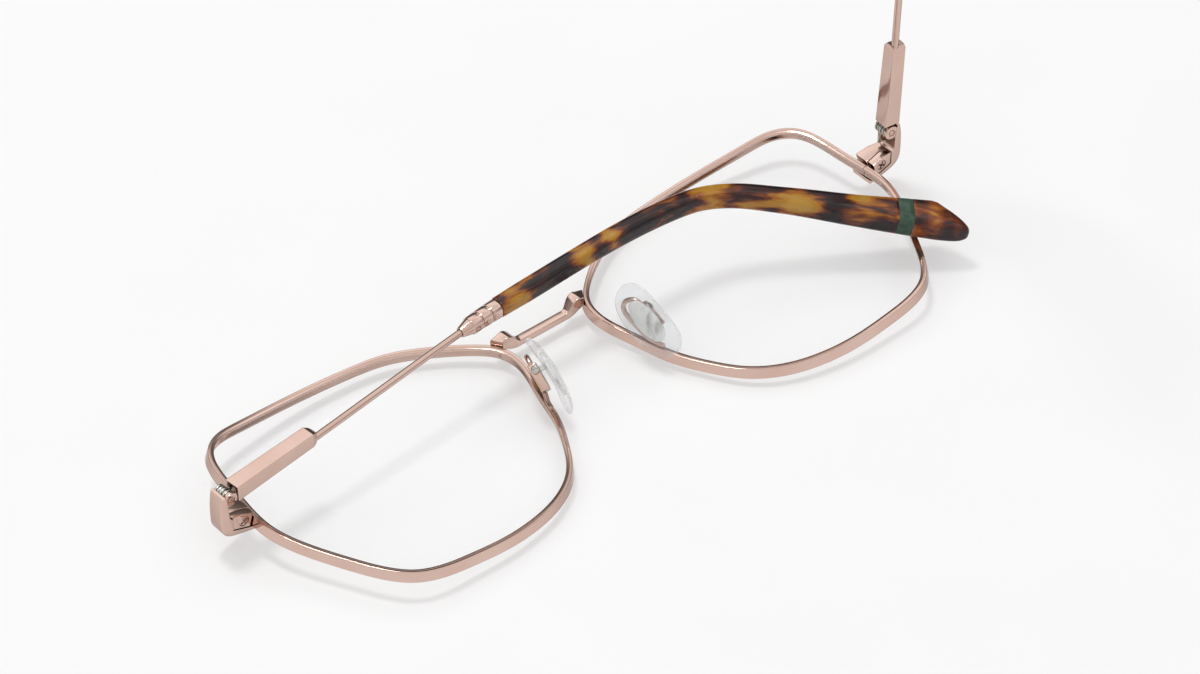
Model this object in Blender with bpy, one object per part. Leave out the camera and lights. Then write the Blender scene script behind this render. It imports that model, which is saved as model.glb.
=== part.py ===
"""Metal-rimmed aviator-shaped spectacles with spring hinges and acetate temple tips.

The frame lies face down on its lenses: +X is the wearer's right, +Y is up the
frame, +Z points back towards the wearer. The origin is the centre of the flat
front face of the bridge. The left temple is folded and the right one is open.
All dimensions below are in millimetres and are turned into metres by solid().
"""

import math

import bmesh
import bpy
import numpy as np
from mathutils import Vector

for stale in list(bpy.data.objects):
    bpy.data.objects.remove(stale, do_unlink=True)

MM = 0.001

# ---------------------------------------------------------------- dimensions
ORIGIN = (0.0, 11.7, 1.2)        # bridge front face centre, in the lens-box frame

LENS_CENTRE_X = 36.0             # half the distance between lens box centres
WRAP = 0.05                      # how far each lens plane is turned back, radians
BASE_RADIUS = 127.5              # lens front curve
RIM_W, RIM_D = 1.0, 1.9          # eyewire, radial width and front-to-back depth
GROOVE_HALF, GROOVE_DEEP = 0.45, 0.38
RIM_STEPS = 54
RIM_SPLIT_Y = 5.10               # where the eyewire is cut for lens fitting
RIM_SPLIT_GAP = 0.10
LENS_EDGE_INSET = 0.58
LENS_HALF_THICK = 0.75
LENS_BEVEL_INSET = 0.20

HINGE = (67.95, 5.10, 10.93)     # hinge axis crosses here, axis along Y
KNUCKLE_R = 1.25
HINGE_Y0 = 3.60                  # underside of the end piece
SCREW_R, SCREW_HOLE_R = 0.47, 0.52
FOLD_LEFT = 86.5                 # rest angle of the folded left temple, degrees
FOLD_RIGHT = -2.0                # rest angle of the open right temple, degrees
LEAN = 5.1                       # the hinge axes lean outward at the top, degrees

HOUSING_A0, HOUSING_A1 = 1.50, 18.2
BORE_R, BORE_B = 0.80, -0.10
SPRING_R, SPRING_WIRE, SPRING_TURNS = 0.53, 0.14, 6
ROD_B, ROD_N = -0.75, -0.35      # wire axis, below and inside the hinge centre
WIRE_R, CORE_R = 0.60, 0.42

TIP_START = 57.10
BAND_START, BAND_END = 122.8, 124.6
TIP_END_LEN = 9.3

# temple line: distance from hinge, height from hinge, inward set
TEMPLE_LINE = [(14.0, -0.75, 0.0), (31.0, -0.75, 0.0), (48.0, -0.76, 0.0), (55.0, -0.95, 0.0),
               (62.7, -1.58, 0.03), (73.0, -2.36, 0.18), (83.5, -3.16, 0.67), (93.6, -4.43, 1.62),
               (98.2, -5.45, 2.35), (101.4, -6.9, 3.03), (104.2, -8.72, 3.75), (107.8, -11.7, 4.98),
               (111.5, -14.85, 6.36), (115.0, -18.1, 7.7), (118.5, -21.4, 9.0), (123.9, -26.4, 10.85),
               (128.5, -30.7, 12.4), (134.0, -35.8, 14.3)]

HINGE_AXIS = (math.sin(math.radians(LEAN)), math.cos(math.radians(LEAN)), 0.0)

# lens shape: control points seen from the back, u outward, v up, from lens centre
LENS_SHAPE = [(27.6, 0.0), (27.7, 3.7), (27.3, 7.3), (26.8, 11.1), (26.2, 15.2), (24.7, 18.9),
              (21.4, 21.4), (17.1, 22.3), (9.6, 23.0), (0.0, 23.2), (-6.1, 22.8), (-12.5, 21.6),
              (-18.6, 18.6), (-24.4, 14.3), (-27.0, 11.2), (-27.8, 7.4), (-27.1, 3.6), (-26.0, 0.0),
              (-24.1, -6.5), (-21.2, -12.2), (-17.4, -17.4), (-12.0, -20.9), (-6.0, -22.6),
              (0.0, -23.2), (7.0, -23.0), (12.9, -22.4), (16.2, -21.1), (18.7, -18.7),
              (22.2, -12.8), (25.3, -6.8)]

PAD_CENTRE = Vector((9.56, -2.76, 7.53))
PAD_DOWN = Vector((0.099, -0.881, -0.467)).normalized()
PAD_FACE = Vector((-0.8736, -0.3015, 0.3829)).normalized()
PAD_OUT = PAD_FACE.cross(PAD_DOWN).normalized()
PAD_HALF_L, PAD_HALF_W, PAD_HALF_T, PAD_SAG = 6.9, 3.6, 0.85, 0.85
PIVOT_A, PIVOT_N, LUG_W0 = -1.75, -2.15, -0.20


# ---------------------------------------------------------------- materials
def material(name, colour, rough, metal, alpha=1.0, transmission=0.0):
    m = bpy.data.materials.new(name)
    m.use_nodes = True
    p = m.node_tree.nodes["Principled BSDF"]
    p.inputs["Base Color"].default_value = (*colour, 1.0)
    p.inputs["Roughness"].default_value = rough
    p.inputs["Metallic"].default_value = metal
    p.inputs["Alpha"].default_value = alpha
    p.inputs["Transmission Weight"].default_value = transmission
    m.diffuse_color = (*colour, alpha)
    return m


def rose_gold(name):
    return material(name, (0.71, 0.47, 0.39), 0.18, 1.0)


def nickel(name):
    return material(name, (0.62, 0.60, 0.56), 0.22, 1.0)


# ---------------------------------------------------------------- mesh helpers
def solid(name, verts, faces, mat, parent=None, side=1, smooth=35.0, cutter=False):
    """A mesh object from millimetre coordinates. side -1 mirrors X."""
    me = bpy.data.meshes.new(name)
    off = (0.0, 0.0, 0.0) if parent else ORIGIN
    me.from_pydata([(side * (v[0] - off[0]) * MM, (v[1] - off[1]) * MM, (v[2] - off[2]) * MM) for v in verts],
                   [], faces)
    bm = bmesh.new()
    bm.from_mesh(me)
    bmesh.ops.recalc_face_normals(bm, faces=bm.faces)
    bm.to_mesh(me)
    bm.free()
    me.shade_smooth()
    me.set_sharp_from_angle(angle=math.radians(smooth))
    ob = bpy.data.objects.new(name, me)
    bpy.context.collection.objects.link(ob)
    if mat:
        me.materials.append(mat)
    if parent:
        ob.parent = parent
    if cutter:
        ob.hide_render = True
        ob.display_type = "WIRE"
    return ob


def loft(rings, cap=True, loop=False):
    n = len(rings[0])
    verts = [tuple(p) for r in rings for p in r]
    faces = []
    last = len(rings) if loop else len(rings) - 1
    for i in range(last):
        a, b = i * n, ((i + 1) % len(rings)) * n
        for j in range(n):
            k = (j + 1) % n
            faces.append((a + j, a + k, b + k, b + j))
    if cap and not loop:
        faces.append(tuple(range(n)))
        faces.append(tuple(range((len(rings) - 1) * n, len(rings) * n)))
    return verts, faces


def prism_y(poly, y0, y1, top=None):
    """(x, z) outline pushed along Y; top(x) may give a sloping upper face."""
    low = [(x, y0, z) for x, z in poly]
    high = [(x, top(x) if top else y1, z) for x, z in poly]
    return loft([low, high])


def cyl(c, axis, r, lo, hi, n=16, r2=None):
    axis = Vector(axis).normalized()
    ref = Vector((1, 0, 0)) if abs(axis.x) < 0.9 else Vector((0, 0, 1))
    e1 = axis.cross(ref).normalized()
    e2 = axis.cross(e1)
    c = Vector(c)
    rings = []
    for h, rad in ((lo, r), (hi, r if r2 is None else r2)):
        rings.append([c + axis * h + rad * (math.cos(t) * e1 + math.sin(t) * e2)
                      for t in (2 * math.pi * (k + 0.5) / n for k in range(n))])
    return loft(rings)


def turned(c, axis, profile, n=16):
    """Closed body from (height, radius) stations along an axis."""
    axis = Vector(axis).normalized()
    ref = Vector((1, 0, 0)) if abs(axis.x) < 0.9 else Vector((0, 0, 1))
    e1 = axis.cross(ref).normalized()
    e2 = axis.cross(e1)
    c = Vector(c)
    return loft([[c + axis * h + rad * (math.cos(t) * e1 + math.sin(t) * e2)
                  for t in (2 * math.pi * (k + 0.5) / n for k in range(n))] for h, rad in profile])


def block(o, ax, lo, hi):
    """Box in a local frame: origin o, three axes, low and high corners."""
    o = Vector(o)
    ring = [(lo[0], lo[1]), (hi[0], lo[1]), (hi[0], hi[1]), (lo[0], hi[1])]
    return loft([[o + ax[0] * x + ax[1] * y + ax[2] * z for x, y in ring] for z in (lo[2], hi[2])])


def boolean(ob, tool, operation):
    m = ob.modifiers.new(operation.lower(), "BOOLEAN")
    m.operation = operation
    m.solver = "EXACT"
    m.object = tool
    return ob


def join(ob, name, body, parent=None, side=1):
    return boolean(ob, solid(ob.name + "_add_" + name, *body, None, parent, side, cutter=True), "UNION")


def cut(ob, name, body, parent=None, side=1):
    return boolean(ob, solid(ob.name + "_cut_" + name, *body, None, parent, side, cutter=True), "DIFFERENCE")


def spline(points, closed=False, per_span=24):
    """Cubic spline with chord-length spacing, returned as a dense polyline."""
    p = np.array(points, float)
    if closed:
        p = np.vstack([p, p[:1]])
    n = len(p) - 1
    h = np.linalg.norm(np.diff(p, axis=0), axis=1)
    a = np.zeros((n + 1, n + 1))
    r = np.zeros((n + 1, p.shape[1]))
    slope = np.diff(p, axis=0) / h[:, None]
    for i in range(1, n):
        a[i, i - 1], a[i, i], a[i, i + 1] = h[i - 1], 2 * (h[i - 1] + h[i]), h[i]
        r[i] = 6 * (slope[i] - slope[i - 1])
    if closed:
        a[0, 0], a[0, n] = 1, -1
        a[n, 0] += 2 * h[0]
        a[n, 1] += h[0]
        a[n, n - 1] += h[-1]
        a[n, n] += 2 * h[-1]
        r[n] = 6 * (slope[0] - slope[-1])
    else:
        a[0, 0] = a[n, n] = 1
    m = np.linalg.solve(a, r)
    out = []
    for i in range(n):
        for k in range(per_span):
            t = k / per_span * h[i]
            u = h[i] - t
            out.append(m[i] * u**3 / (6 * h[i]) + m[i + 1] * t**3 / (6 * h[i])
                       + (p[i] / h[i] - m[i] * h[i] / 6) * u + (p[i + 1] / h[i] - m[i + 1] * h[i] / 6) * t)
    if not closed:
        out.append(p[-1])
    return np.array(out)


# ---------------------------------------------------------------- lens curve
def lens_z(u, v):
    return math.tan(WRAP) * u + (u * u + v * v) / (2 * BASE_RADIUS)


def lens_normal(u, v):
    return Vector((-(math.tan(WRAP) + u / BASE_RADIUS), -v / BASE_RADIUS, 1.0)).normalized()


def rim_stations():
    dense = spline(LENS_SHAPE, closed=True)
    start = 0
    for i in range(len(dense)):
        if dense[i, 0] > 20 and dense[i, 1] < RIM_SPLIT_Y <= dense[(i + 1) % len(dense), 1]:
            start = i + 1
    loop = np.roll(dense, -start, axis=0)
    first = loop[-1] + (loop[0] - loop[-1]) * ((RIM_SPLIT_Y - loop[-1, 1]) / (loop[0, 1] - loop[-1, 1]))
    loop = np.vstack([first, loop, first])
    run = np.r_[0, np.cumsum(np.linalg.norm(np.diff(loop, axis=0), axis=1))]
    s = np.linspace(RIM_SPLIT_GAP / 2, run[-1] - RIM_SPLIT_GAP / 2, RIM_STEPS + 1)
    pts = np.stack([np.interp(s, run, loop[:, 0]), np.interp(s, run, loop[:, 1])], 1)
    ahead = np.stack([np.interp(np.minimum(s + 0.05, run[-1]), run, loop[:, k]) for k in (0, 1)], 1)
    behind = np.stack([np.interp(np.maximum(s - 0.05, 0), run, loop[:, k]) for k in (0, 1)], 1)
    out = []
    for (u, v), (ua, va), (ub, vb) in zip(pts.tolist(), ahead.tolist(), behind.tolist()):
        c = Vector((LENS_CENTRE_X + u, v, lens_z(u, v)))
        t = (Vector((ua, va, lens_z(ua, va))) - Vector((ub, vb, lens_z(ub, vb)))).normalized()
        nrm = lens_normal(u, v)
        out.append((c, t.cross(nrm).normalized(), nrm, float(u), float(v)))
    return out


STATIONS = rim_stations()


def build_rim(side, label):
    w, d = RIM_W / 2, RIM_D / 2
    section = [(-w, -d + 0.15), (-w + 0.15, -d), (w - 0.2, -d), (w, -d + 0.2), (w, d - 0.2), (w - 0.2, d),
               (-w + 0.15, d), (-w, d - 0.15), (-w, GROOVE_HALF), (-w + GROOVE_DEEP, 0.0), (-w, -GROOVE_HALF)]
    rings = [[c + r * rad + h * nrm for r, h in section] for c, rad, nrm, u, v in STATIONS]
    return solid("rim_" + label, *loft(rings), rose_gold("rim_" + label), side=side)


def build_lens(side, label):
    e, hh = -LENS_EDGE_INSET, LENS_HALF_THICK
    edge = [(e, -hh), (e, -0.40), (-LENS_BEVEL_INSET - 0.02, 0.0), (e, 0.40), (e, hh)]
    rings = []
    n = len(STATIONS)
    inner = 0.5

    def centre_ring(h):
        return [Vector((LENS_CENTRE_X + u * inner, v * inner, lens_z(u * inner, v * inner) + h))
                for c, rad, nrm, u, v in STATIONS]
    rings.append(centre_ring(-hh))
    for r, h in edge:
        rings.append([c + r * rad + h * nrm for c, rad, nrm, u, v in STATIONS])
    rings.append(centre_ring(hh))
    verts, faces = loft(rings, cap=False)
    lo, hi = len(verts), len(verts) + 1
    verts += [(LENS_CENTRE_X, 0, -hh), (LENS_CENTRE_X, 0, hh)]
    last = (len(rings) - 1) * n
    for j in range(n):
        k = (j + 1) % n
        faces.append((j, k, lo))
        faces.append((last + j, last + k, hi))
    mat = material("lens_" + label, (0.97, 0.98, 0.98), 0.0, 0.0, 0.25, 1.0)
    return solid("lens_" + label, verts, faces, mat, side=side, smooth=50)


# ---------------------------------------------------------------- bridge
def rim_outer_x(y, gap):
    """X of the eyewire's nose-side outer surface at height y, less a gap."""
    best = None
    for c, rad, nrm, u, v in STATIONS:
        q = c + rad * (RIM_W / 2 + gap)
        if u < 0:
            d = abs(q.y - y)
            if best is None or d < best[0]:
                best = (d, q.x)
    near = sorted(((abs((c + rad * (RIM_W / 2 + gap)).y - y), c + rad * (RIM_W / 2 + gap))
                   for c, rad, nrm, u, v in STATIONS if u < -20), key=lambda s: s[0])[:2]
    (d0, q0), (d1, q1) = near
    t = (y - q0.y) / (q1.y - q0.y)
    return q0.x + t * (q1.x - q0.x)


def build_bridge():
    # x, low y, high y, low z (front), high z (back)
    half = [(0.0, 11.0, 12.4, 1.20, 2.40), (4.4, 11.0, 12.4, 1.20, 2.42), (5.2, 11.0, 12.5, 1.20, 2.60),
            (5.8, 11.0, 12.8, 1.28, 3.15), (6.4, 11.0, 13.0, 1.45, 3.85), (7.0, 11.0, 13.1, 1.75, 4.25),
            (7.5, 11.0, 13.1, 2.05, 4.35), (8.0, 11.05, 13.0, 2.15, 4.15)]
    ch = 0.28

    def ring(x, y0, y1, z0, z1, end=False):
        pts = [(y0 + ch, z0), (y1 - ch, z0), (y1, z0 + ch), (y1, z1 - ch), (y1 - ch, z1), (y0 + ch, z1),
               (y0, z1 - ch), (y0, z0 + ch)]
        return [Vector((rim_outer_x(y, 0.16) if end else x, y, z)) for y, z in pts]
    right = [ring(*h) for h in half] + [ring(0, 11.15, 12.8, 2.1, 3.6, True)]
    left = [[Vector((-p.x, p.y, p.z)) for p in r] for r in right[1:]]
    return solid("bridge", *loft(left[::-1] + right), rose_gold("bridge"))


# ---------------------------------------------------------------- endpieces
def back_edge(x):
    return 8.0 - (x - 63.6) * 0.21


def build_endpiece(side, label):
    wall = [(63.45, 2.42), (68.3, 3.55), (69.1, 4.05), (69.7, 5.0), (69.98, 6.4), (70.0, 8.5), (69.85, 10.6),
            (69.6, 12.0), (68.95, 12.0), (68.75, 10.9), (68.5, 8.9), (68.45, 7.6), (67.85, 7.0),
            (67.85, 4.62), (64.5, 3.46), (63.4, 3.14)]
    ob = solid("endpiece_" + label, *prism_y(wall, HINGE_Y0, 0, back_edge), rose_gold("endpiece_" + label), side=side)
    upper = [(64.5, 3.3), (68.0, 4.4), (68.0, 6.95), (66.1, 6.85), (63.82, 6.1), (64.48, 3.62)]
    join(ob, "block", prism_y(upper, RIM_SPLIT_Y + 0.05, 0, lambda x: back_edge(x) - 0.06), side=side)
    cut(ob, "knuckle_space", cyl(HINGE, HINGE_AXIS, KNUCKLE_R + 0.08, -0.57, 4.4, 20), side=side)
    join(ob, "ear", cyl(HINGE, HINGE_AXIS, KNUCKLE_R, -1.39, -0.62, 20), side=side)
    cut(ob, "screw", cyl(HINGE, HINGE_AXIS, SCREW_HOLE_R, -2.5, 3.4), side=side)
    cut(ob, "lock_thread", cyl((65.75, 0, 5.35), (0, 1, 0), 0.53, 3.0, 6.6), side=side)
    return ob


def build_lock(side, label):
    low = [(64.66, 3.66), (67.76, 4.73), (67.76, 6.93), (66.1, 6.85), (64.0, 6.1)]
    ob = solid("rim_lock_block_" + label, *prism_y(low, HINGE_Y0 + 0.06, RIM_SPLIT_Y - 0.05),
               rose_gold("rim_lock_block_" + label), side=side)
    cut(ob, "screw", cyl((65.75, 0, 5.35), (0, 1, 0), 0.53, 3.0, 6.6), side=side)
    cut(ob, "head", cyl((65.75, 0, 5.35), (0, 1, 0), 0.92, 3.0, 4.16), side=side)
    solid("rim_lock_screw_" + label,
          *turned((65.75, 0, 5.35), (0, 1, 0), [(3.66, 0.72), (3.74, 0.86), (4.10, 0.86), (4.11, 0.47),
                                                (6.35, 0.47), (6.45, 0.38)], 14),
          rose_gold("rim_lock_screw_" + label), side=side)


def build_hinge_front(side, label):
    leaf = solid("hinge_leaf_" + label, *cyl(HINGE, HINGE_AXIS, KNUCKLE_R, 0.70, 1.62, 20),
                 nickel("hinge_leaf_" + label), side=side)
    tang = [(67.35, 10.4), (67.35, 7.75), (68.40, 7.75), (68.44, 8.9), (68.66, 10.4)]
    join(leaf, "tang", prism_y(tang, 5.90, 6.55), side=side)
    cut(leaf, "screw", cyl(HINGE, HINGE_AXIS, SCREW_HOLE_R, 0, 3), side=side)
    solid("hinge_screw_" + label,
          *turned(HINGE, HINGE_AXIS, [(-1.36, 0.40), (-1.28, SCREW_R), (1.67, SCREW_R), (1.68, 0.80),
                                      (1.92, 0.80), (2.02, 0.66)], 14),
          rose_gold("hinge_screw_" + label), side=side)


# ---------------------------------------------------------------- nose pads
def pad_point(a, n, w):
    return PAD_CENTRE + PAD_DOWN * a + PAD_FACE * n + PAD_OUT * w


PAD_AXES = (PAD_DOWN, PAD_FACE, PAD_OUT)


def build_pad(side, label, pivot):
    arm_start = []
    for v in (-4.9, -3.2):
        near = min((s for s in STATIONS if s[3] < -15), key=lambda s: abs(s[4] - v))
        arm_start.append(near[0] + (v - near[4]) * Vector((-0.42, 1.0, 0.0)) + near[2] * 1.47)
    path = arm_start + [pad_point(*q) for q in (
        (1.2, -2.75, -3.35), (-2.4, -2.55, -3.45), (-4.2, -2.4, -3.2), (-4.95, -2.35, -2.3),
        (-4.75, -2.35, -1.2), (-4.0, -2.4, -0.45), (-2.99, -2.45, -0.22))]
    line = spline(path, per_span=3)
    solid("pad_arm_" + label, *tube(line, [0.42] * len(line), 7), rose_gold("pad_arm_" + label), side=side)

    box = solid("pad_box_" + label, *block(PAD_CENTRE, PAD_AXES, (-2.95, -3.10, LUG_W0 - 1.0), (1.8, -1.55, LUG_W0 + 1.0)),
                rose_gold("pad_box_" + label), side=side)
    cut(box, "slot", block(PAD_CENTRE, PAD_AXES, (-2.58, -2.92, LUG_W0 - 0.44), (-0.92, 0.0, LUG_W0 + 0.44)), side=side)
    cut(box, "screw", cyl(pad_point(PIVOT_A, PIVOT_N, LUG_W0), PAD_OUT, 0.39, -3, 3, 12), side=side)

    solid("pad_screw_" + label,
          *turned(pad_point(PIVOT_A, PIVOT_N, LUG_W0), PAD_OUT, [(-0.98, 0.34), (1.04, 0.34), (1.05, 0.70),
                                                                (1.32, 0.70), (1.45, 0.55)], 14),
          nickel("pad_screw_" + label), side=side)

    def oval(hl, hw, n, flat):
        return [pad_point(hl * math.cos(t), n + flat, hw * math.sin(t))
                for t in (2 * math.pi * k / 14 for k in range(14))]
    ins = solid("pad_insert_" + label, *loft([oval(3.9, 1.9, -0.38, 0), oval(3.9, 1.9, 0.12, 0)]),
                material("pad_insert_" + label, (0.9, 0.88, 0.82), 0.1, 0.0, 0.5, 0.9), side=side)
    join(ins, "neck", block(PAD_CENTRE, PAD_AXES, (-2.15, -2.15, LUG_W0 - 0.36), (-1.35, -0.2, LUG_W0 + 0.36)), side=side)
    join(ins, "eye", cyl(pad_point(PIVOT_A, PIVOT_N, LUG_W0), PAD_OUT, 0.66, -0.37, 0.37, 14), side=side)
    cut(ins, "pin", cyl(pad_point(PIVOT_A, PIVOT_N, LUG_W0), PAD_OUT, 0.39, -3, 3, 12), side=side)

    rings = []
    for k in range(11):
        q = math.cos(math.pi * k / 10)
        a = -PAD_HALF_L * q
        f = max(1 - abs(q) ** 2.6, 0.0) ** 0.5
        hw = 0.35 + (PAD_HALF_W - 0.35) * f
        ht = 0.28 + (PAD_HALF_T - 0.28) * min(1.0, f * 1.25)
        mid = -PAD_SAG * (a / PAD_HALF_L) ** 2
        rings.append([pad_point(a, mid + ht * (abs(math.sin(t)) ** 0.75) * (1 if math.sin(t) > 0 else -1) if abs(math.sin(t)) > 1e-9 else mid,
                                hw * math.cos(t)) for t in (2 * math.pi * j / 12 for j in range(12))])
    pad = solid("nose_pad_" + label, *loft(rings), material("nose_pad_" + label, (0.93, 0.93, 0.93), 0.15, 0.0, 0.4, 0.8),
                side=side, smooth=60)
    cut(pad, "plate", loft([oval(3.96, 1.96, -0.44, 0), oval(3.96, 1.96, 0.18, 0)]), side=side)
    cut(pad, "neck", block(PAD_CENTRE, PAD_AXES, (-2.21, -2.6, LUG_W0 - 0.42), (-1.29, -0.2, LUG_W0 + 0.42)), side=side)
    for ob in (ins, pad):
        set_origin(ob, pad_point(PIVOT_A, PIVOT_N, LUG_W0), side)


def set_origin(ob, at, side):
    o = Vector((side * (at.x - ORIGIN[0]), at.y - ORIGIN[1], at.z - ORIGIN[2])) * MM
    for v in ob.data.vertices:
        v.co -= o
    ob.location = o


def tube(line, radii, n, flat=None):
    rings = []
    ref = None
    for i, p in enumerate(line):
        p = Vector(p)
        t = (Vector(line[min(i + 1, len(line) - 1)]) - Vector(line[max(i - 1, 0)])).normalized()
        if ref is None:
            ref = Vector((1, 0, 0)) if abs(t.x) < 0.8 else Vector((0, 1, 0))
        e1 = (ref - ref.dot(t) * t).normalized()
        ref = e1
        e2 = t.cross(e1)
        rings.append([p + radii[i] * (math.cos(q) * e1 + math.sin(q) * e2)
                      for q in (2 * math.pi * (k + 0.5) / n for k in range(n))])
    return loft(rings)


# ---------------------------------------------------------------- temples
# Temple pieces are built open, in a local frame at the hinge axis:
# X outward, Y up, Z along the temple. An empty turns and places each side.
LINE = spline(TEMPLE_LINE, per_span=16)


def line_at(a):
    """Centre, along, up and outward vectors of the temple at distance a."""
    b = float(np.interp(a, LINE[:, 0], LINE[:, 1]))
    c = float(np.interp(a, LINE[:, 0], LINE[:, 2]))
    da = 0.4
    b1, b0 = (float(np.interp(a + k, LINE[:, 0], LINE[:, 1])) for k in (da, -da))
    c1, c0 = (float(np.interp(a + k, LINE[:, 0], LINE[:, 2])) for k in (da, -da))
    p = Vector((ROD_N - c, b, a))
    t = Vector((-(c1 - c0), b1 - b0, 2 * da)).normalized()
    out = (Vector((1, 0, 0)) - t.x * t).normalized()
    return p, t, t.cross(out), out


def tip_size(a):
    """Width outward and height of the temple tip at distance a."""
    at = [(48.9, 2.7, 2.7), (57, 2.95, 3.0), (62.5, 3.1, 3.15), (75, 3.1, 3.12), (88.5, 3.3, 3.15), (98, 3.4, 3.15),
          (102, 3.5, 3.2), (107.5, 3.6, 3.45), (111, 3.7, 3.7), (118.6, 3.95, 4.6), (123.8, 4.1, 5.5), (127, 4.1, 6.0),
          (133, 4.1, 6.4)]
    x = [q[0] for q in at]
    return float(np.interp(a, x, [q[1] for q in at])), float(np.interp(a, x, [q[2] for q in at]))


def rounded(w, h, r, n_arc=3, y_hi=None, y_lo=None):
    y_hi = h / 2 if y_hi is None else y_hi
    y_lo = -h / 2 if y_lo is None else y_lo
    r = min(r, 0.49 * w, 0.49 * (y_hi - y_lo))
    pts = []
    for cx, cy, q0 in ((w / 2 - r, y_hi - r, 0), (-w / 2 + r, y_hi - r, 90), (-w / 2 + r, y_lo + r, 180),
                       (w / 2 - r, y_lo + r, 270)):
        for k in range(n_arc):
            q = math.radians(q0 + 90 * k / (n_arc - 1))
            pts.append((cx + r * math.cos(q), cy + r * math.sin(q)))
    return pts


def section_ring(a, pts):
    p, t, up, out = line_at(a)
    return [p + out * x + up * y for x, y in pts]


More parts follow.
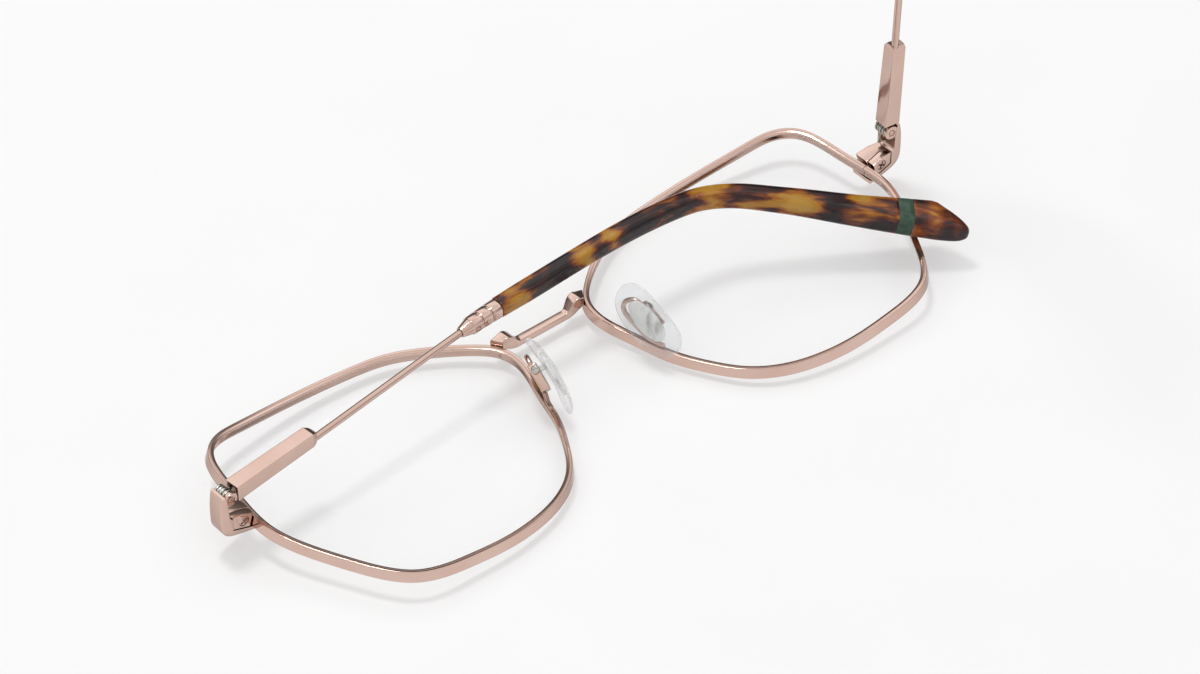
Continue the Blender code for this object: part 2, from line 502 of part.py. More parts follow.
def build_temple(side, label, angle):
    hinge = bpy.data.objects.new("hinge_axis_" + label, None)
    bpy.context.collection.objects.link(hinge)
    hinge.location = Vector((side * HINGE[0] - ORIGIN[0], HINGE[1] - ORIGIN[1], HINGE[2] - ORIGIN[2])) * MM
    hinge.rotation_euler = (0, math.radians(-side * angle), math.radians(-side * LEAN))

    # spring housing: a tapering box with bevelled long edges and a chamfered far end
    def box_ring(a, shrink=0.0):
        f = (a - HOUSING_A0) / (HOUSING_A1 - HOUSING_A0)
        b0, b1 = -1.30 - 0.20 * f + shrink, 1.40 - 0.45 * f - shrink
        n0, n1 = -1.40 + 0.20 * f + shrink, 1.50 - 0.15 * f - shrink
        c = 0.22
        return [Vector(q) for q in ((n0 + c, b0, a), (n1 - c, b0, a), (n1, b0 + c, a), (n1, b1 - c, a),
                                    (n1 - c, b1, a), (n0 + c, b1, a), (n0, b1 - c, a), (n0, b0 + c, a))]
    housing = solid("temple_housing_" + label,
                    *loft([box_ring(HOUSING_A0), box_ring(HOUSING_A1 - 1.0), box_ring(HOUSING_A1 - 0.35, 0.22),
                           box_ring(HOUSING_A1, 0.52)]),
                    rose_gold("temple_housing_" + label), hinge, side)
    zax = (0, 0, 1)
    cut(housing, "guide_bore", cyl((0, BORE_B, 0), zax, BORE_R, 1.0, 4.6), hinge, side)
    cut(housing, "collar", cyl((0, BORE_B, 0), zax, 0.42, 4.0, 6.0, 12), hinge, side)
    cut(housing, "spring_bore", cyl((0, BORE_B, 0), zax, BORE_R, 5.4, 13.2), hinge, side)
    cut(housing, "wire_socket", cyl((ROD_N, ROD_B, 0), zax, WIRE_R + 0.03, 14.0, 19.0), hinge, side)

    # slider: knuckle on the hinge screw, guide and rod inside the housing
    slider = solid("hinge_slider_" + label, *cyl((0, 0, 0), (0, 1, 0), KNUCKLE_R, -0.55, 0.62, 20),
                   nickel("hinge_slider_" + label), hinge, side)
    join(slider, "rod", turned((0, BORE_B, 0), zax, [(0.70, 0.46), (1.35, 0.46), (1.36, 0.72), (4.2, 0.72), (4.21, 0.35),
                                                    (11.6, 0.35)], 12), hinge, side)
    cut(slider, "screw", cyl((0, 0, 0), (0, 1, 0), SCREW_HOLE_R, -2, 2), hinge, side)

    steps = SPRING_TURNS * 7
    coil = [(SPRING_R * math.cos(2 * math.pi * k / 7), BORE_B + SPRING_R * math.sin(2 * math.pi * k / 7),
             6.9 + 3.35 * k / steps) for k in range(steps + 1)]
    solid("hinge_spring_" + label, *tube(coil, [SPRING_WIRE] * len(coil), 5), nickel("hinge_spring_" + label), hinge, side)

    nut = solid("slider_nut_" + label, *cyl((0, BORE_B, 0), zax, 0.70, 10.55, 11.55, 6),
                nickel("slider_nut_" + label), hinge, side)
    cut(nut, "bore", cyl((0, BORE_B, 0), zax, 0.38, 10, 12, 12), hinge, side)

    # temple wire: rod, then a core that runs into the acetate tip and ends in a point
    stops = [14.3, 49.1, 56.3, 56.9, 64, 72, 80, 86, 90, 93.5, 96.5, 98.8, 101, 103.5, 107, 111.5, 116, 119.0]
    radii = [WIRE_R] * 3 + [CORE_R] * (len(stops) - 4) + [0.06]
    rings = []
    for a, r in zip(stops, radii):
        p, t, up, out = line_at(a)
        rings.append([p + r * (math.cos(q) * out + math.sin(q) * up) for q in (2 * math.pi * (k + 0.5) / 8 for k in range(8))])
    solid("temple_wire_" + label, *loft(rings), rose_gold("temple_wire_" + label), hinge, side, smooth=60)

    # ferrule: a short cone and three rings, bored for the wire
    prof = [(49.2, 0.62), (51.15, 0.92), (51.2, 1.0), (52.93, 1.0), (52.98, 0.88), (53.2, 0.88), (53.25, 1.0),
            (54.9, 1.0), (54.95, 0.88), (55.17, 0.88), (55.22, 1.0), (57.0, 1.0)]
    outer = []
    for a, f in prof:
        w, h = tip_size(a)
        outer.append(section_ring(a, rounded(w * f, h * f, 0.62)))
    inner = [section_ring(a, [((WIRE_R + 0.05) * math.cos(q), (WIRE_R + 0.05) * math.sin(q))
                              for q in (math.radians(x) for x in (0, 30, 60, 90, 120, 150, 180, 210, 240, 270, 300, 330))])
             for a in (57.0, 49.2)]
    solid("ferrule_" + label, *loft(outer + inner, loop=True), rose_gold("ferrule_" + label), hinge, side)

    # acetate tip, bored for the core
    def tip_ring(a):
        w, h = tip_size(a)
        return section_ring(a, rounded(w, h, 0.75))
    stations = [TIP_START, 61, 65.5, 71, 76.5, 82, 87.5, 91.5, 94.5, 96.8, 98.8, 100.6, 102.4, 104.4, 107, 110.5, 114.5,
                118.7, BAND_START]
    bore = [119.5, 116, 111.5, 107, 103.5, 101, 98.8, 96.5, 93.5, 90, 86, 80, 72, 64, TIP_START]
    holes = [section_ring(a, [((CORE_R + 0.12) * math.cos(q), (CORE_R + 0.12) * math.sin(q))
                              for q in (math.radians(x) for x in (8, 45, 82, 98, 135, 172, 188, 225, 262, 278, 315, 352))])
             for a in bore]
    rings = [tip_ring(a) for a in stations]
    verts, faces = loft(rings + holes, cap=False)
    n, total = 12, len(rings) + len(holes)
    seam = (len(rings) - 1) * n
    for j in range(n):
        k = (j + 1) % n
        faces.remove((seam + j, seam + k, seam + n + k, seam + n + j))
        faces.append(((total - 1) * n + j, (total - 1) * n + k, k, j))
    faces.append(tuple(range(seam, seam + n)))
    faces.append(tuple(range(seam + n, seam + 2 * n)))
    amber = material("tip_main_" + label, (0.35, 0.16, 0.04), 0.12, 0.0)
    solid("tip_main_" + label, verts, faces, amber, hinge, side, smooth=50)

    solid("tip_band_" + label, *loft([tip_ring(BAND_START + 0.02), tip_ring(BAND_END - 0.02)]),
          material("tip_band_" + label, (0.10, 0.22, 0.15), 0.15, 0.0), hinge, side, smooth=50)

    # tip end: the upper edge slants down to a blunt point on the lower side
    p0, t0, up0, out0 = line_at(BAND_END)
    w0, h0 = tip_size(BAND_END)
    rings = []
    for s, top, low, w in ((0.0, h0 / 2, -h0 / 2, w0), (3.2, 2.98, -2.97, w0), (4.1, 2.78, -3.06, 4.0),
                           (6.4, 1.02, -3.12, 3.75), (8.1, -0.50, -3.06, 3.3), (8.9, -1.12, -2.88, 2.6),
                           (TIP_END_LEN, -1.62, -2.52, 1.3)):
        c = p0 + t0 * s
        rings.append([c + out0 * x + up0 * y for x, y in rounded(w, 0, 0.8, 3, top, low)])
    solid("tip_end_" + label, *loft(rings), material("tip_end_" + label, (0.25, 0.09, 0.03), 0.12, 0.0), hinge, side, smooth=50)


for side, label, angle in ((1, "right", FOLD_RIGHT), (-1, "left", FOLD_LEFT)):
    build_rim(side, label)
    build_lens(side, label)
    build_endpiece(side, label)
    build_lock(side, label)
    build_hinge_front(side, label)
    build_pad(side, label, None)
    build_temple(side, label, angle)
build_bridge()
bpy.context.view_layer.update()
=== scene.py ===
import math

import bmesh
import bpy
import numpy as np
from mathutils import Matrix, Vector


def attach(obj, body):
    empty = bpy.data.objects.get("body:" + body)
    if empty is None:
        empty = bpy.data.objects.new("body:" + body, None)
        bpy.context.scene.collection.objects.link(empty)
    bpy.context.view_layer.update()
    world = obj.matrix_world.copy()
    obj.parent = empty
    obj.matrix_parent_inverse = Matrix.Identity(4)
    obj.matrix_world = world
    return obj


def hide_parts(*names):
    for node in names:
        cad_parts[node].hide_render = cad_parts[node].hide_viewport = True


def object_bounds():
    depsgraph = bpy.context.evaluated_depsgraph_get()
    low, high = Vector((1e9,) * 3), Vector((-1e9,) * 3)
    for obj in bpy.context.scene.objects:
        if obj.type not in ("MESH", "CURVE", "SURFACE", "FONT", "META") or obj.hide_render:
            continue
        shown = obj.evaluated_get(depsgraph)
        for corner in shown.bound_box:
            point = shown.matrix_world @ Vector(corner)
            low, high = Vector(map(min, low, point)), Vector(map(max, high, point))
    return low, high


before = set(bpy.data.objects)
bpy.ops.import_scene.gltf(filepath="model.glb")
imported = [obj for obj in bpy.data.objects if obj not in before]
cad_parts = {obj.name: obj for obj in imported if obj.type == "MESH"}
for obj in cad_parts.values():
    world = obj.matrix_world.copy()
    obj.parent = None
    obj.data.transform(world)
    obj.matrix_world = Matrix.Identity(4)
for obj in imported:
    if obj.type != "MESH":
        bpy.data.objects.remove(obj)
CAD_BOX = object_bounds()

MM = 0.001

# ------------------------------------------------------------------ dimensions, millimetres
ORIGIN = Vector((0.0, 11.7, 1.2))
LENS_CENTRE_X = 36.0
WRAP = 0.05
BASE_RADIUS = 127.5
RIM_W, RIM_D = 1.0, 1.9
RIM_STEPS = 300
RIM_SPLIT_Y, RIM_SPLIT_GAP = 5.10, 0.10
LENS_EDGE_INSET, LENS_HALF_THICK = 0.58, 0.75

HINGE = Vector((67.95, 5.10, 10.93))
KNUCKLE_R = 1.25
HINGE_Y0 = 3.60
SCREW_R, SCREW_HOLE_R = 0.47, 0.52
FOLD = {"left": 86.5, "right": -2.0}
LEAN = 5.1
HINGE_AXIS = Vector((math.sin(math.radians(LEAN)), math.cos(math.radians(LEAN)), 0.0))

HOUSING_A0, HOUSING_A1 = 1.50, 18.2
BORE_R, BORE_B = 0.80, -0.10
ROD_B, ROD_N = -0.75, -0.35
WIRE_R, CORE_R = 0.60, 0.42
TIP_START, BAND_START, BAND_END, TIP_END_LEN = 57.10, 122.8, 124.6, 9.3

TEMPLE_LINE = [(14.0, -0.75, 0.0), (31.0, -0.75, 0.0), (48.0, -0.76, 0.0), (55.0, -0.95, 0.0),
               (62.7, -1.58, 0.03), (73.0, -2.36, 0.18), (83.5, -3.16, 0.67), (93.6, -4.43, 1.62),
               (98.2, -5.45, 2.35), (101.4, -6.9, 3.03), (104.2, -8.72, 3.75), (107.8, -11.7, 4.98),
               (111.5, -14.85, 6.36), (115.0, -18.1, 7.7), (118.5, -21.4, 9.0), (123.9, -26.4, 10.85),
               (128.5, -30.7, 12.4), (134.0, -35.8, 14.3)]

LENS_SHAPE = [(27.6, 0.0), (27.7, 3.7), (27.3, 7.3), (26.8, 11.1), (26.2, 15.2), (24.7, 18.9),
              (21.4, 21.4), (17.1, 22.3), (9.6, 23.0), (0.0, 23.2), (-6.1, 22.8), (-12.5, 21.6),
              (-18.6, 18.6), (-24.4, 14.3), (-27.0, 11.2), (-27.8, 7.4), (-27.1, 3.6), (-26.0, 0.0),
              (-24.1, -6.5), (-21.2, -12.2), (-17.4, -17.4), (-12.0, -20.9), (-6.0, -22.6),
              (0.0, -23.2), (7.0, -23.0), (12.9, -22.4), (16.2, -21.1), (18.7, -18.7),
              (22.2, -12.8), (25.3, -6.8)]

PAD_CENTRE = Vector((9.56, -2.76, 7.53))
PAD_DOWN = Vector((0.099, -0.881, -0.467)).normalized()
PAD_FACE = Vector((-0.8736, -0.3015, 0.3829)).normalized()
PAD_OUT = PAD_FACE.cross(PAD_DOWN).normalized()
PAD_AXES = (PAD_DOWN, PAD_FACE, PAD_OUT)
PAD_HALF_L, PAD_HALF_W, PAD_HALF_T, PAD_SAG = 6.9, 3.6, 0.85, 0.85
PIVOT_A, PIVOT_N, LUG_W0 = -1.75, -2.15, -0.20


# ------------------------------------------------------------------ node helpers
def new_material(name):
    m = bpy.data.materials.new(name)
    m.use_nodes = True
    nt = m.node_tree
    for n in list(nt.nodes):
        nt.nodes.remove(n)
    out = nt.nodes.new("ShaderNodeOutputMaterial")
    return m, nt, out


def node(nt, kind, **values):
    n = nt.nodes.new(kind)
    for k, v in values.items():
        if k.startswith("in_"):
            key = k[3:].replace("_", " ")
            n.inputs[key].default_value = v
        else:
            setattr(n, k, v)
    return n


def link(nt, a, b):
    nt.links.new(a, b)


def mapped(nt, source, lo, hi, out_lo, out_hi):
    n = node(nt, "ShaderNodeMapRange")
    n.inputs["From Min"].default_value = lo
    n.inputs["From Max"].default_value = hi
    n.inputs["To Min"].default_value = out_lo
    n.inputs["To Max"].default_value = out_hi
    link(nt, source, n.inputs["Value"])
    return n.outputs["Result"]


def maths(nt, op, a, b=None):
    n = node(nt, "ShaderNodeMath", operation=op)
    for i, v in enumerate((a, b)):
        if v is None:
            continue
        if isinstance(v, (int, float)):
            n.inputs[i].default_value = v
        else:
            link(nt, v, n.inputs[i])
    return n.outputs[0]


def ramp(nt, source, stops, interpolation="LINEAR"):
    n = node(nt, "ShaderNodeValToRGB")
    n.color_ramp.interpolation = interpolation
    e = n.color_ramp.elements
    while len(e) < len(stops):
        e.new(0.5)
    for k, (at, colour) in enumerate(stops):
        e[k].position = at
        e[k].color = (*colour, 1.0)
    link(nt, source, n.inputs["Fac"])
    return n.outputs["Color"]


def noise(nt, vector, scale, detail=3.0, rough=0.5, distortion=0.0):
    n = node(nt, "ShaderNodeTexNoise")
    n.inputs["Scale"].default_value = scale
    n.inputs["Detail"].default_value = detail
    n.inputs["Roughness"].default_value = rough
    n.inputs["Distortion"].default_value = distortion
    link(nt, vector, n.inputs["Vector"])
    return n.outputs["Fac"]


def stretched(nt, vector, scale):
    n = node(nt, "ShaderNodeMapping")
    n.inputs["Scale"].default_value = scale
    link(nt, vector, n.inputs["Vector"])
    return n.outputs["Vector"]


def mixed(nt, fac, a, b):
    n = node(nt, "ShaderNodeMix", data_type="RGBA")
    if isinstance(fac, (int, float)):
        n.inputs["Factor"].default_value = fac
    else:
        link(nt, fac, n.inputs["Factor"])
    for key, v in ((6, a), (7, b)):
        if isinstance(v, tuple):
            n.inputs[key].default_value = (*v, 1.0)
        else:
            link(nt, v, n.inputs[key])
    return n.outputs[2]


# ------------------------------------------------------------------ materials
def plated_metal(name, base, warm, rough, scratch=1.0):
    """Polished plating: faint colour drift, fine polishing lines, paler colour on sharp edges, painted shade where the
    surface turns away from the camera.
    """
    m, nt, out = new_material(name)
    p = node(nt, "ShaderNodeBsdfPrincipled")
    p.inputs["Metallic"].default_value = 1.0
    co = node(nt, "ShaderNodeTexCoord").outputs["Object"]
    drift = noise(nt, co, 120.0, 2.0)
    colour = mixed(nt, mapped(nt, drift, 0.35, 0.65, 0.0, 1.0), base, warm)
    # the colour turns paler on sharp convex edges
    edge = node(nt, "ShaderNodeNewGeometry").outputs["Pointiness"]
    sharp_edge_paling = mapped(nt, edge, 0.52, 0.60, 0.0, 0.45)
    colour = mixed(nt, sharp_edge_paling, colour, tuple(min(1.0, c * 1.14 + 0.03) for c in base))
    # painted shade: the base colour darkens to a deep brown where the surface turns away from the camera
    turn = node(nt, "ShaderNodeLayerWeight")
    turn.inputs["Blend"].default_value = 0.5
    painted_grazing_shade = ramp(nt, turn.outputs["Facing"], [(0.38, (0.0,) * 3), (0.43, (0.08,) * 3), (0.52, (0.30,) * 3), (0.72, (0.80,) * 3),
                                             (0.90, (1.0,) * 3)])
    colour = mixed(nt, painted_grazing_shade, colour, tuple(c * k for c, k in zip(base, (0.42, 0.36, 0.34))))
    link(nt, colour, p.inputs["Base Color"])
    fine = noise(nt, co, 1400.0, 3.0, 0.6)
    lines = noise(nt, stretched(nt, co, (900.0, 6000.0, 6000.0)), 1.0, 2.0, 0.55)
    both = maths(nt, "MULTIPLY", maths(nt, "ADD", fine, lines), 0.5)
    link(nt, mapped(nt, both, 0.35, 0.65, rough * 0.70, rough * 1.35), p.inputs["Roughness"])
    bump = node(nt, "ShaderNodeBump")
    bump.inputs["Strength"].default_value = 0.06 * scratch
    bump.inputs["Distance"].default_value = 0.00002
    link(nt, both, bump.inputs["Height"])
    link(nt, bump.outputs["Normal"], p.inputs["Normal"])
    link(nt, p.outputs[0], out.inputs["Surface"])
    return m


def lens_material():
    """Clear lens with an anti-reflection coating: almost nothing but a thin tinted sheen."""
    m, nt, out = new_material("clear_lens")
    co = node(nt, "ShaderNodeTexCoord").outputs["Object"]
    clear = node(nt, "ShaderNodeBsdfTransparent")
    film = noise(nt, co, 22.0, 2.0)
    tint = ramp(nt, film, [(0.35, (0.996, 0.998, 0.998)), (0.65, (0.999, 0.999, 1.0))])
    link(nt, tint, clear.inputs["Color"])
    gloss = node(nt, "ShaderNodeBsdfGlossy")
    coat = ramp(nt, film, [(0.30, (0.62, 0.86, 0.80)), (0.55, (0.74, 0.82, 0.95)), (0.75, (0.84, 0.78, 0.92))])
    link(nt, coat, gloss.inputs["Color"])
    smear = noise(nt, co, 260.0, 4.0, 0.65)
    link(nt, mapped(nt, smear, 0.40, 0.75, 0.015, 0.06), gloss.inputs["Roughness"])
    rim = node(nt, "ShaderNodeLayerWeight")
    rim.inputs["Blend"].default_value = 0.5
    mix = node(nt, "ShaderNodeMixShader")
    sheen = maths(nt, "MULTIPLY", maths(nt, "POWER", rim.outputs["Facing"], 3.0), 0.06)
    link(nt, maths(nt, "ADD", sheen, 0.001), mix.inputs["Fac"])
    link(nt, clear.outputs[0], mix.inputs[1])
    link(nt, gloss.outputs[0], mix.inputs[2])
    link(nt, mix.outputs[0], out.inputs["Surface"])
    return m


def silicone_material():
    """Clear silicone: cloudy body with faint flow lines under a soft gloss."""
    m, nt, out = new_material("clear_silicone")
    co = node(nt, "ShaderNodeTexCoord").outputs["Object"]
    cloud = noise(nt, co, 420.0, 3.0, 0.55)
    body = node(nt, "ShaderNodeBsdfPrincipled")
    body.inputs["Transmission Weight"].default_value = 0.55
    body.inputs["IOR"].default_value = 1.36
    body.inputs["Subsurface Weight"].default_value = 0.35
    body.inputs["Subsurface Radius"].default_value = (0.003, 0.003, 0.003)
    body.inputs["Subsurface Scale"].default_value = 1.0
    body.inputs["Coat Weight"].default_value = 0.3
    body.inputs["Coat Roughness"].default_value = 0.08
    link(nt, ramp(nt, cloud, [(0.3, (0.78, 0.79, 0.80)), (0.7, (0.90, 0.905, 0.91))]), body.inputs["Base Color"])
    link(nt, mapped(nt, cloud, 0.3, 0.7, 0.06, 0.16), body.inputs["Roughness"])
    flow = noise(nt, stretched(nt, co, (300.0, 1100.0, 1100.0)), 1.0, 2.0)
    bump = node(nt, "ShaderNodeBump")
    bump.inputs["Strength"].default_value = 0.10
    bump.inputs["Distance"].default_value = 0.00006
    link(nt, flow, bump.inputs["Height"])
    link(nt, bump.outputs["Normal"], body.inputs["Normal"])
    clear = node(nt, "ShaderNodeBsdfTransparent")
    clear.inputs["Color"].default_value = (0.955, 0.96, 0.965, 1.0)
    facing = node(nt, "ShaderNodeLayerWeight")
    facing.inputs["Blend"].default_value = 0.35
    solid = mapped(nt, maths(nt, "POWER", facing.outputs["Facing"], 1.6), 0.0, 1.0, 0.13, 0.80)
    shadow = node(nt, "ShaderNodeLightPath").outputs["Is Shadow Ray"]
    amount = maths(nt, "MULTIPLY", solid, mapped(nt, shadow, 0.0, 1.0, 1.0, 0.22))
    mix = node(nt, "ShaderNodeMixShader")
    link(nt, amount, mix.inputs["Fac"])
    link(nt, clear.outputs[0], mix.inputs[1])
    link(nt, body.outputs[0], mix.inputs[2])
    link(nt, mix.outputs[0], out.inputs["Surface"])
    return m


def acetate_material(name, stops, clearest, grain=(0.55, 0.55, 0.20)):
    """Cast acetate in clouded patches drawn out along the tip, deeper where it is dark."""
    m, nt, out = new_material(name)
    at = node(nt, "ShaderNodeAttribute", attribute_name="tip_space").outputs["Vector"]
    bias = node(nt, "ShaderNodeAttribute", attribute_name="tip_tone").outputs["Fac"]
    big = noise(nt, stretched(nt, at, tuple(g * 0.55 for g in grain)), 1.0, 2.0, 0.5, 0.5)
    mid = noise(nt, stretched(nt, at, tuple(g * 1.15 for g in grain)), 1.0, 2.0, 0.45, 0.5)
    small = noise(nt, stretched(nt, at, tuple(g * 5.0 for g in grain)), 1.0, 3.0, 0.5, 0.3)
    v = maths(nt, "ADD", maths(nt, "MULTIPLY", big, 0.45), maths(nt, "MULTIPLY", mid, 0.62))
    v = maths(nt, "ADD", v, maths(nt, "MULTIPLY", small, 0.09))
    v = maths(nt, "ADD", maths(nt, "SUBTRACT", v, 0.090), maths(nt, "MULTIPLY", bias, 0.20))
    colour = ramp(nt, v, stops, "EASE")
    p = node(nt, "ShaderNodeBsdfPrincipled")
    link(nt, colour, p.inputs["Base Color"])
    link(nt, mapped(nt, v, 0.52, 0.72, 0.0, clearest), p.inputs["Transmission Weight"])
    p.inputs["IOR"].default_value = 1.48
    p.inputs["Specular IOR Level"].default_value = 0.20
    p.inputs["Coat Weight"].default_value = 0.32
    p.inputs["Coat Roughness"].default_value = 0.03
    polish = noise(nt, at, 3.0, 3.0, 0.6)
    link(nt, mapped(nt, polish, 0.3, 0.7, 0.07, 0.14), p.inputs["Roughness"])
    bump = node(nt, "ShaderNodeBump")
    bump.inputs["Strength"].default_value = 0.05
    bump.inputs["Distance"].default_value = 0.00005
    link(nt, noise(nt, at, 0.9, 2.0), bump.inputs["Height"])
    link(nt, bump.outputs["Normal"], p.inputs["Normal"])
    link(nt, p.outputs[0], out.inputs["Surface"])
    return m


TORTOISE = [(0.38, (0.012, 0.005, 0.006)), (0.46, (0.038, 0.011, 0.008)), (0.52, (0.130, 0.030, 0.008)),
            (0.585, (0.330, 0.112, 0.008)), (0.66, (0.520, 0.240, 0.014)), (0.78, (0.66, 0.36, 0.04))]
END_TORTOISE = [(0.36, (0.018, 0.006, 0.007)), (0.46, (0.070, 0.016, 0.008)), (0.55, (0.185, 0.042, 0.009)),
                (0.64, (0.330, 0.095, 0.012)), (0.76, (0.60, 0.30, 0.03))]
GREEN = [(0.30, (0.018, 0.045, 0.028)), (0.50, (0.038, 0.078, 0.050)), (0.75, (0.070, 0.130, 0.088))]

MAT = {
    "rose_gold": plated_metal("rose_gold", (0.665, 0.480, 0.410), (0.630, 0.440, 0.370), 0.11),
    "rose_gold_cast": plated_metal("rose_gold_cast", (0.620, 0.450, 0.385), (0.580, 0.410, 0.345), 0.20, 1.6),
    "nickel": plated_metal("nickel", (0.570, 0.560, 0.520), (0.500, 0.490, 0.450), 0.20, 1.6),
    "spring_steel": plated_metal("spring_steel", (0.42, 0.42, 0.42), (0.34, 0.33, 0.32), 0.28, 1.4),
    "clear_lens": lens_material(),
    "clear_silicone": silicone_material(),
    "pad_core": acetate_material("pad_core", [(0.3, (0.80, 0.79, 0.75)), (0.7, (0.90, 0.90, 0.87))], 0.9),
    "tortoise_acetate": acetate_material("tortoise_acetate", TORTOISE, 0.42),
    "tortoise_end": acetate_material("tortoise_end", END_TORTOISE, 0.30, (0.45, 0.45, 0.22)),
    "green_acetate": acetate_material("green_acetate", GREEN, 0.25, (0.5, 0.5, 0.5)),
}


# ------------------------------------------------------------------ mesh helpers
def spline(points, closed=False, per_span=24):
    p = np.array(points, float)
    if closed:
        p = np.vstack([p, p[:1]])
    n = len(p) - 1
    h = np.linalg.norm(np.diff(p, axis=0), axis=1)
    a = np.zeros((n + 1, n + 1))
    r = np.zeros((n + 1, p.shape[1]))
    slope = np.diff(p, axis=0) / h[:, None]
    for i in range(1, n):
        a[i, i - 1], a[i, i], a[i, i + 1] = h[i - 1], 2 * (h[i - 1] + h[i]), h[i]
        r[i] = 6 * (slope[i] - slope[i - 1])
    if closed:
        a[0, 0], a[0, n] = 1, -1
        a[n, 0] += 2 * h[0]
        a[n, 1] += h[0]
        a[n, n - 1] += h[-1]
        a[n, n] += 2 * h[-1]
        r[n] = 6 * (slope[0] - slope[-1])
    else:
        a[0, 0] = a[n, n] = 1
    m = np.linalg.solve(a, r)
    out = []
    for i in range(n):
        for k in range(per_span):
            t = k / per_span * h[i]
            u = h[i] - t
            out.append(m[i] * u**3 / (6 * h[i]) + m[i + 1] * t**3 / (6 * h[i])
                       + (p[i] / h[i] - m[i] * h[i] / 6) * u + (p[i + 1] / h[i] - m[i + 1] * h[i] / 6) * t)
    if not closed:
        out.append(p[-1])
    return np.array(out)


def loft(rings, cap=True, loop=False):
    n = len(rings[0])
    verts = [tuple(p) for r in rings for p in r]
    faces = []
    last = len(rings) if loop else len(rings) - 1
    for i in range(last):
        a, b = i * n, ((i + 1) % len(rings)) * n
        for j in range(n):
            k = (j + 1) % n
            faces.append((a + j, a + k, b + k, b + j))
    if cap and not loop:
        faces.append(tuple(range(n)))
        faces.append(tuple(range((len(rings) - 1) * n, len(rings) * n)))
    return verts, faces


def basis(axis):
    axis = Vector(axis).normalized()
    ref = Vector((1, 0, 0)) if abs(axis.x) < 0.9 else Vector((0, 0, 1))
    e1 = axis.cross(ref).normalized()
    return axis, e1, axis.cross(e1)


def turned(c, axis, profile, n=40, phase=0.5):
    axis, e1, e2 = basis(axis)
    c = Vector(c)
    return loft([[c + axis * h + rad * (math.cos(t) * e1 + math.sin(t) * e2)
                  for t in (2 * math.pi * (k + phase) / n for k in range(n))] for h, rad in profile])


def cyl(c, axis, r, lo, hi, n=40):
    return turned(c, axis, [(lo, r), (hi, r)], n)


def rounded_profile(stations, r=0.06, steps=3):
    """Softens every corner of a turned profile of (height, radius) stations."""
    out = [stations[0]]
    for i in range(1, len(stations) - 1):
        p, q, s = (Vector(stations[k]) for k in (i - 1, i, i + 1))
        a, b = p - q, s - q
        cutoff = min(r, a.length * 0.45, b.length * 0.45)
        if cutoff < 1e-4:
            out.append(stations[i])
            continue
        s0, s1 = q + a.normalized() * cutoff, q + b.normalized() * cutoff
        for k in range(steps + 1):
            t = k / steps
            w = s0 * (1 - t) ** 2 + q * 2 * t * (1 - t) + s1 * t * t
            out.append((w.x, w.y))
    out.append(stations[-1])
    return out


def block(o, ax, lo, hi):
    o = Vector(o)
    ring = [(lo[0], lo[1]), (hi[0], lo[1]), (hi[0], hi[1]), (lo[0], hi[1])]
    return loft([[o + ax[0] * x + ax[1] * y + ax[2] * z for x, y in ring] for z in (lo[2], hi[2])])


def tube(line, radii, n, squash=None):
    rings = []
    ref = None
    for i, p in enumerate(line):
        p = Vector(p)
        t = (Vector(line[min(i + 1, len(line) - 1)]) - Vector(line[max(i - 1, 0)])).normalized()
        if ref is None:
            ref = Vector((1, 0, 0)) if abs(t.x) < 0.8 else Vector((0, 1, 0))
        e1 = (ref - ref.dot(t) * t).normalized()
        ref = e1
        e2 = t.cross(e1)
        rings.append([p + radii[i] * (math.cos(q) * e1 + math.sin(q) * e2)
                      for q in (2 * math.pi * (k + 0.5) / n for k in range(n))])
    return loft(rings)


def prism_y(poly, y0, y1, top=None):
    low = [(x, y0, z) for x, z in poly]
    high = [(x, top(x) if top else y1, z) for x, z in poly]
    return loft([low, high])


def inset(poly, d, mask=None):
    """Moves the marked corners of a closed outline inwards by d."""
    n = len(poly)
    area = sum(poly[i][0] * poly[(i + 1) % n][1] - poly[(i + 1) % n][0] * poly[i][1] for i in range(n))
    sgn = 1.0 if area > 0 else -1.0
    out = []
    for i in range(n):
        if mask is not None and not mask[i]:
            out.append(poly[i])
            continue
        p, q, s = (Vector(poly[k % n]) for k in (i - 1, i, i + 1))
        e0, e1 = (q - p).normalized(), (s - q).normalized()
        n0, n1 = Vector((-e0.y, e0.x)) * sgn, Vector((-e1.y, e1.x)) * sgn
        mid = (n0 + n1)
        if mid.length < 1e-6:
            mid = n0
        mid.normalize()
        k = d / max(0.5, mid.dot(n0))
        out.append((q.x + mid.x * k, q.y + mid.y * k))
    return out


def soft_prism(poly, y0, top, r, mask=None, steps=4):
    """(x, z) outline pushed along Y with its two ends rolled over by radius r."""
    rings = []
    for k in range(steps + 1):
        q = math.pi / 2 * k / steps
        ring = inset(poly, r * (1 - math.sin(q)), mask)
        rings.append([(x, y0 + r * (1 - math.cos(q)), z) for x, z in ring])
    for k in range(steps, -1, -1):
        q = math.pi / 2 * k / steps
        ring = inset(poly, r * (1 - math.sin(q)), mask)
        rings.append([(x, top(x) - r * (1 - math.cos(q)), z) for x, z in ring])
    return loft(rings)


def raw(name, verts, faces, side, local):
    me = bpy.data.meshes.new(name)
    if local is not None:
        pts = [local @ Vector((side * v[0], v[1], v[2])) for v in verts]
        me.from_pydata([tuple(p * MM) for p in pts], [], faces)
    else:
        me.from_pydata([(side * v[0] * MM, (v[1] - ORIGIN.y) * MM, (v[2] - ORIGIN.z) * MM) for v in verts], [], faces)
    bm = bmesh.new()
    bm.from_mesh(me)
    bmesh.ops.recalc_face_normals(bm, faces=bm.faces)
    bm.to_mesh(me)
    bm.free()
    ob = bpy.data.objects.new(name, me)
    bpy.context.scene.collection.objects.link(ob)
    return ob


def bake(ob, tools=()):
    bpy.context.view_layer.update()
    dg = bpy.context.evaluated_depsgraph_get()
    me = bpy.data.meshes.new_from_object(ob.evaluated_get(dg), preserve_all_data_layers=True, depsgraph=dg)
    ob.modifiers.clear()
    ob.data = me
    for t in tools:
        bpy.data.objects.remove(t)


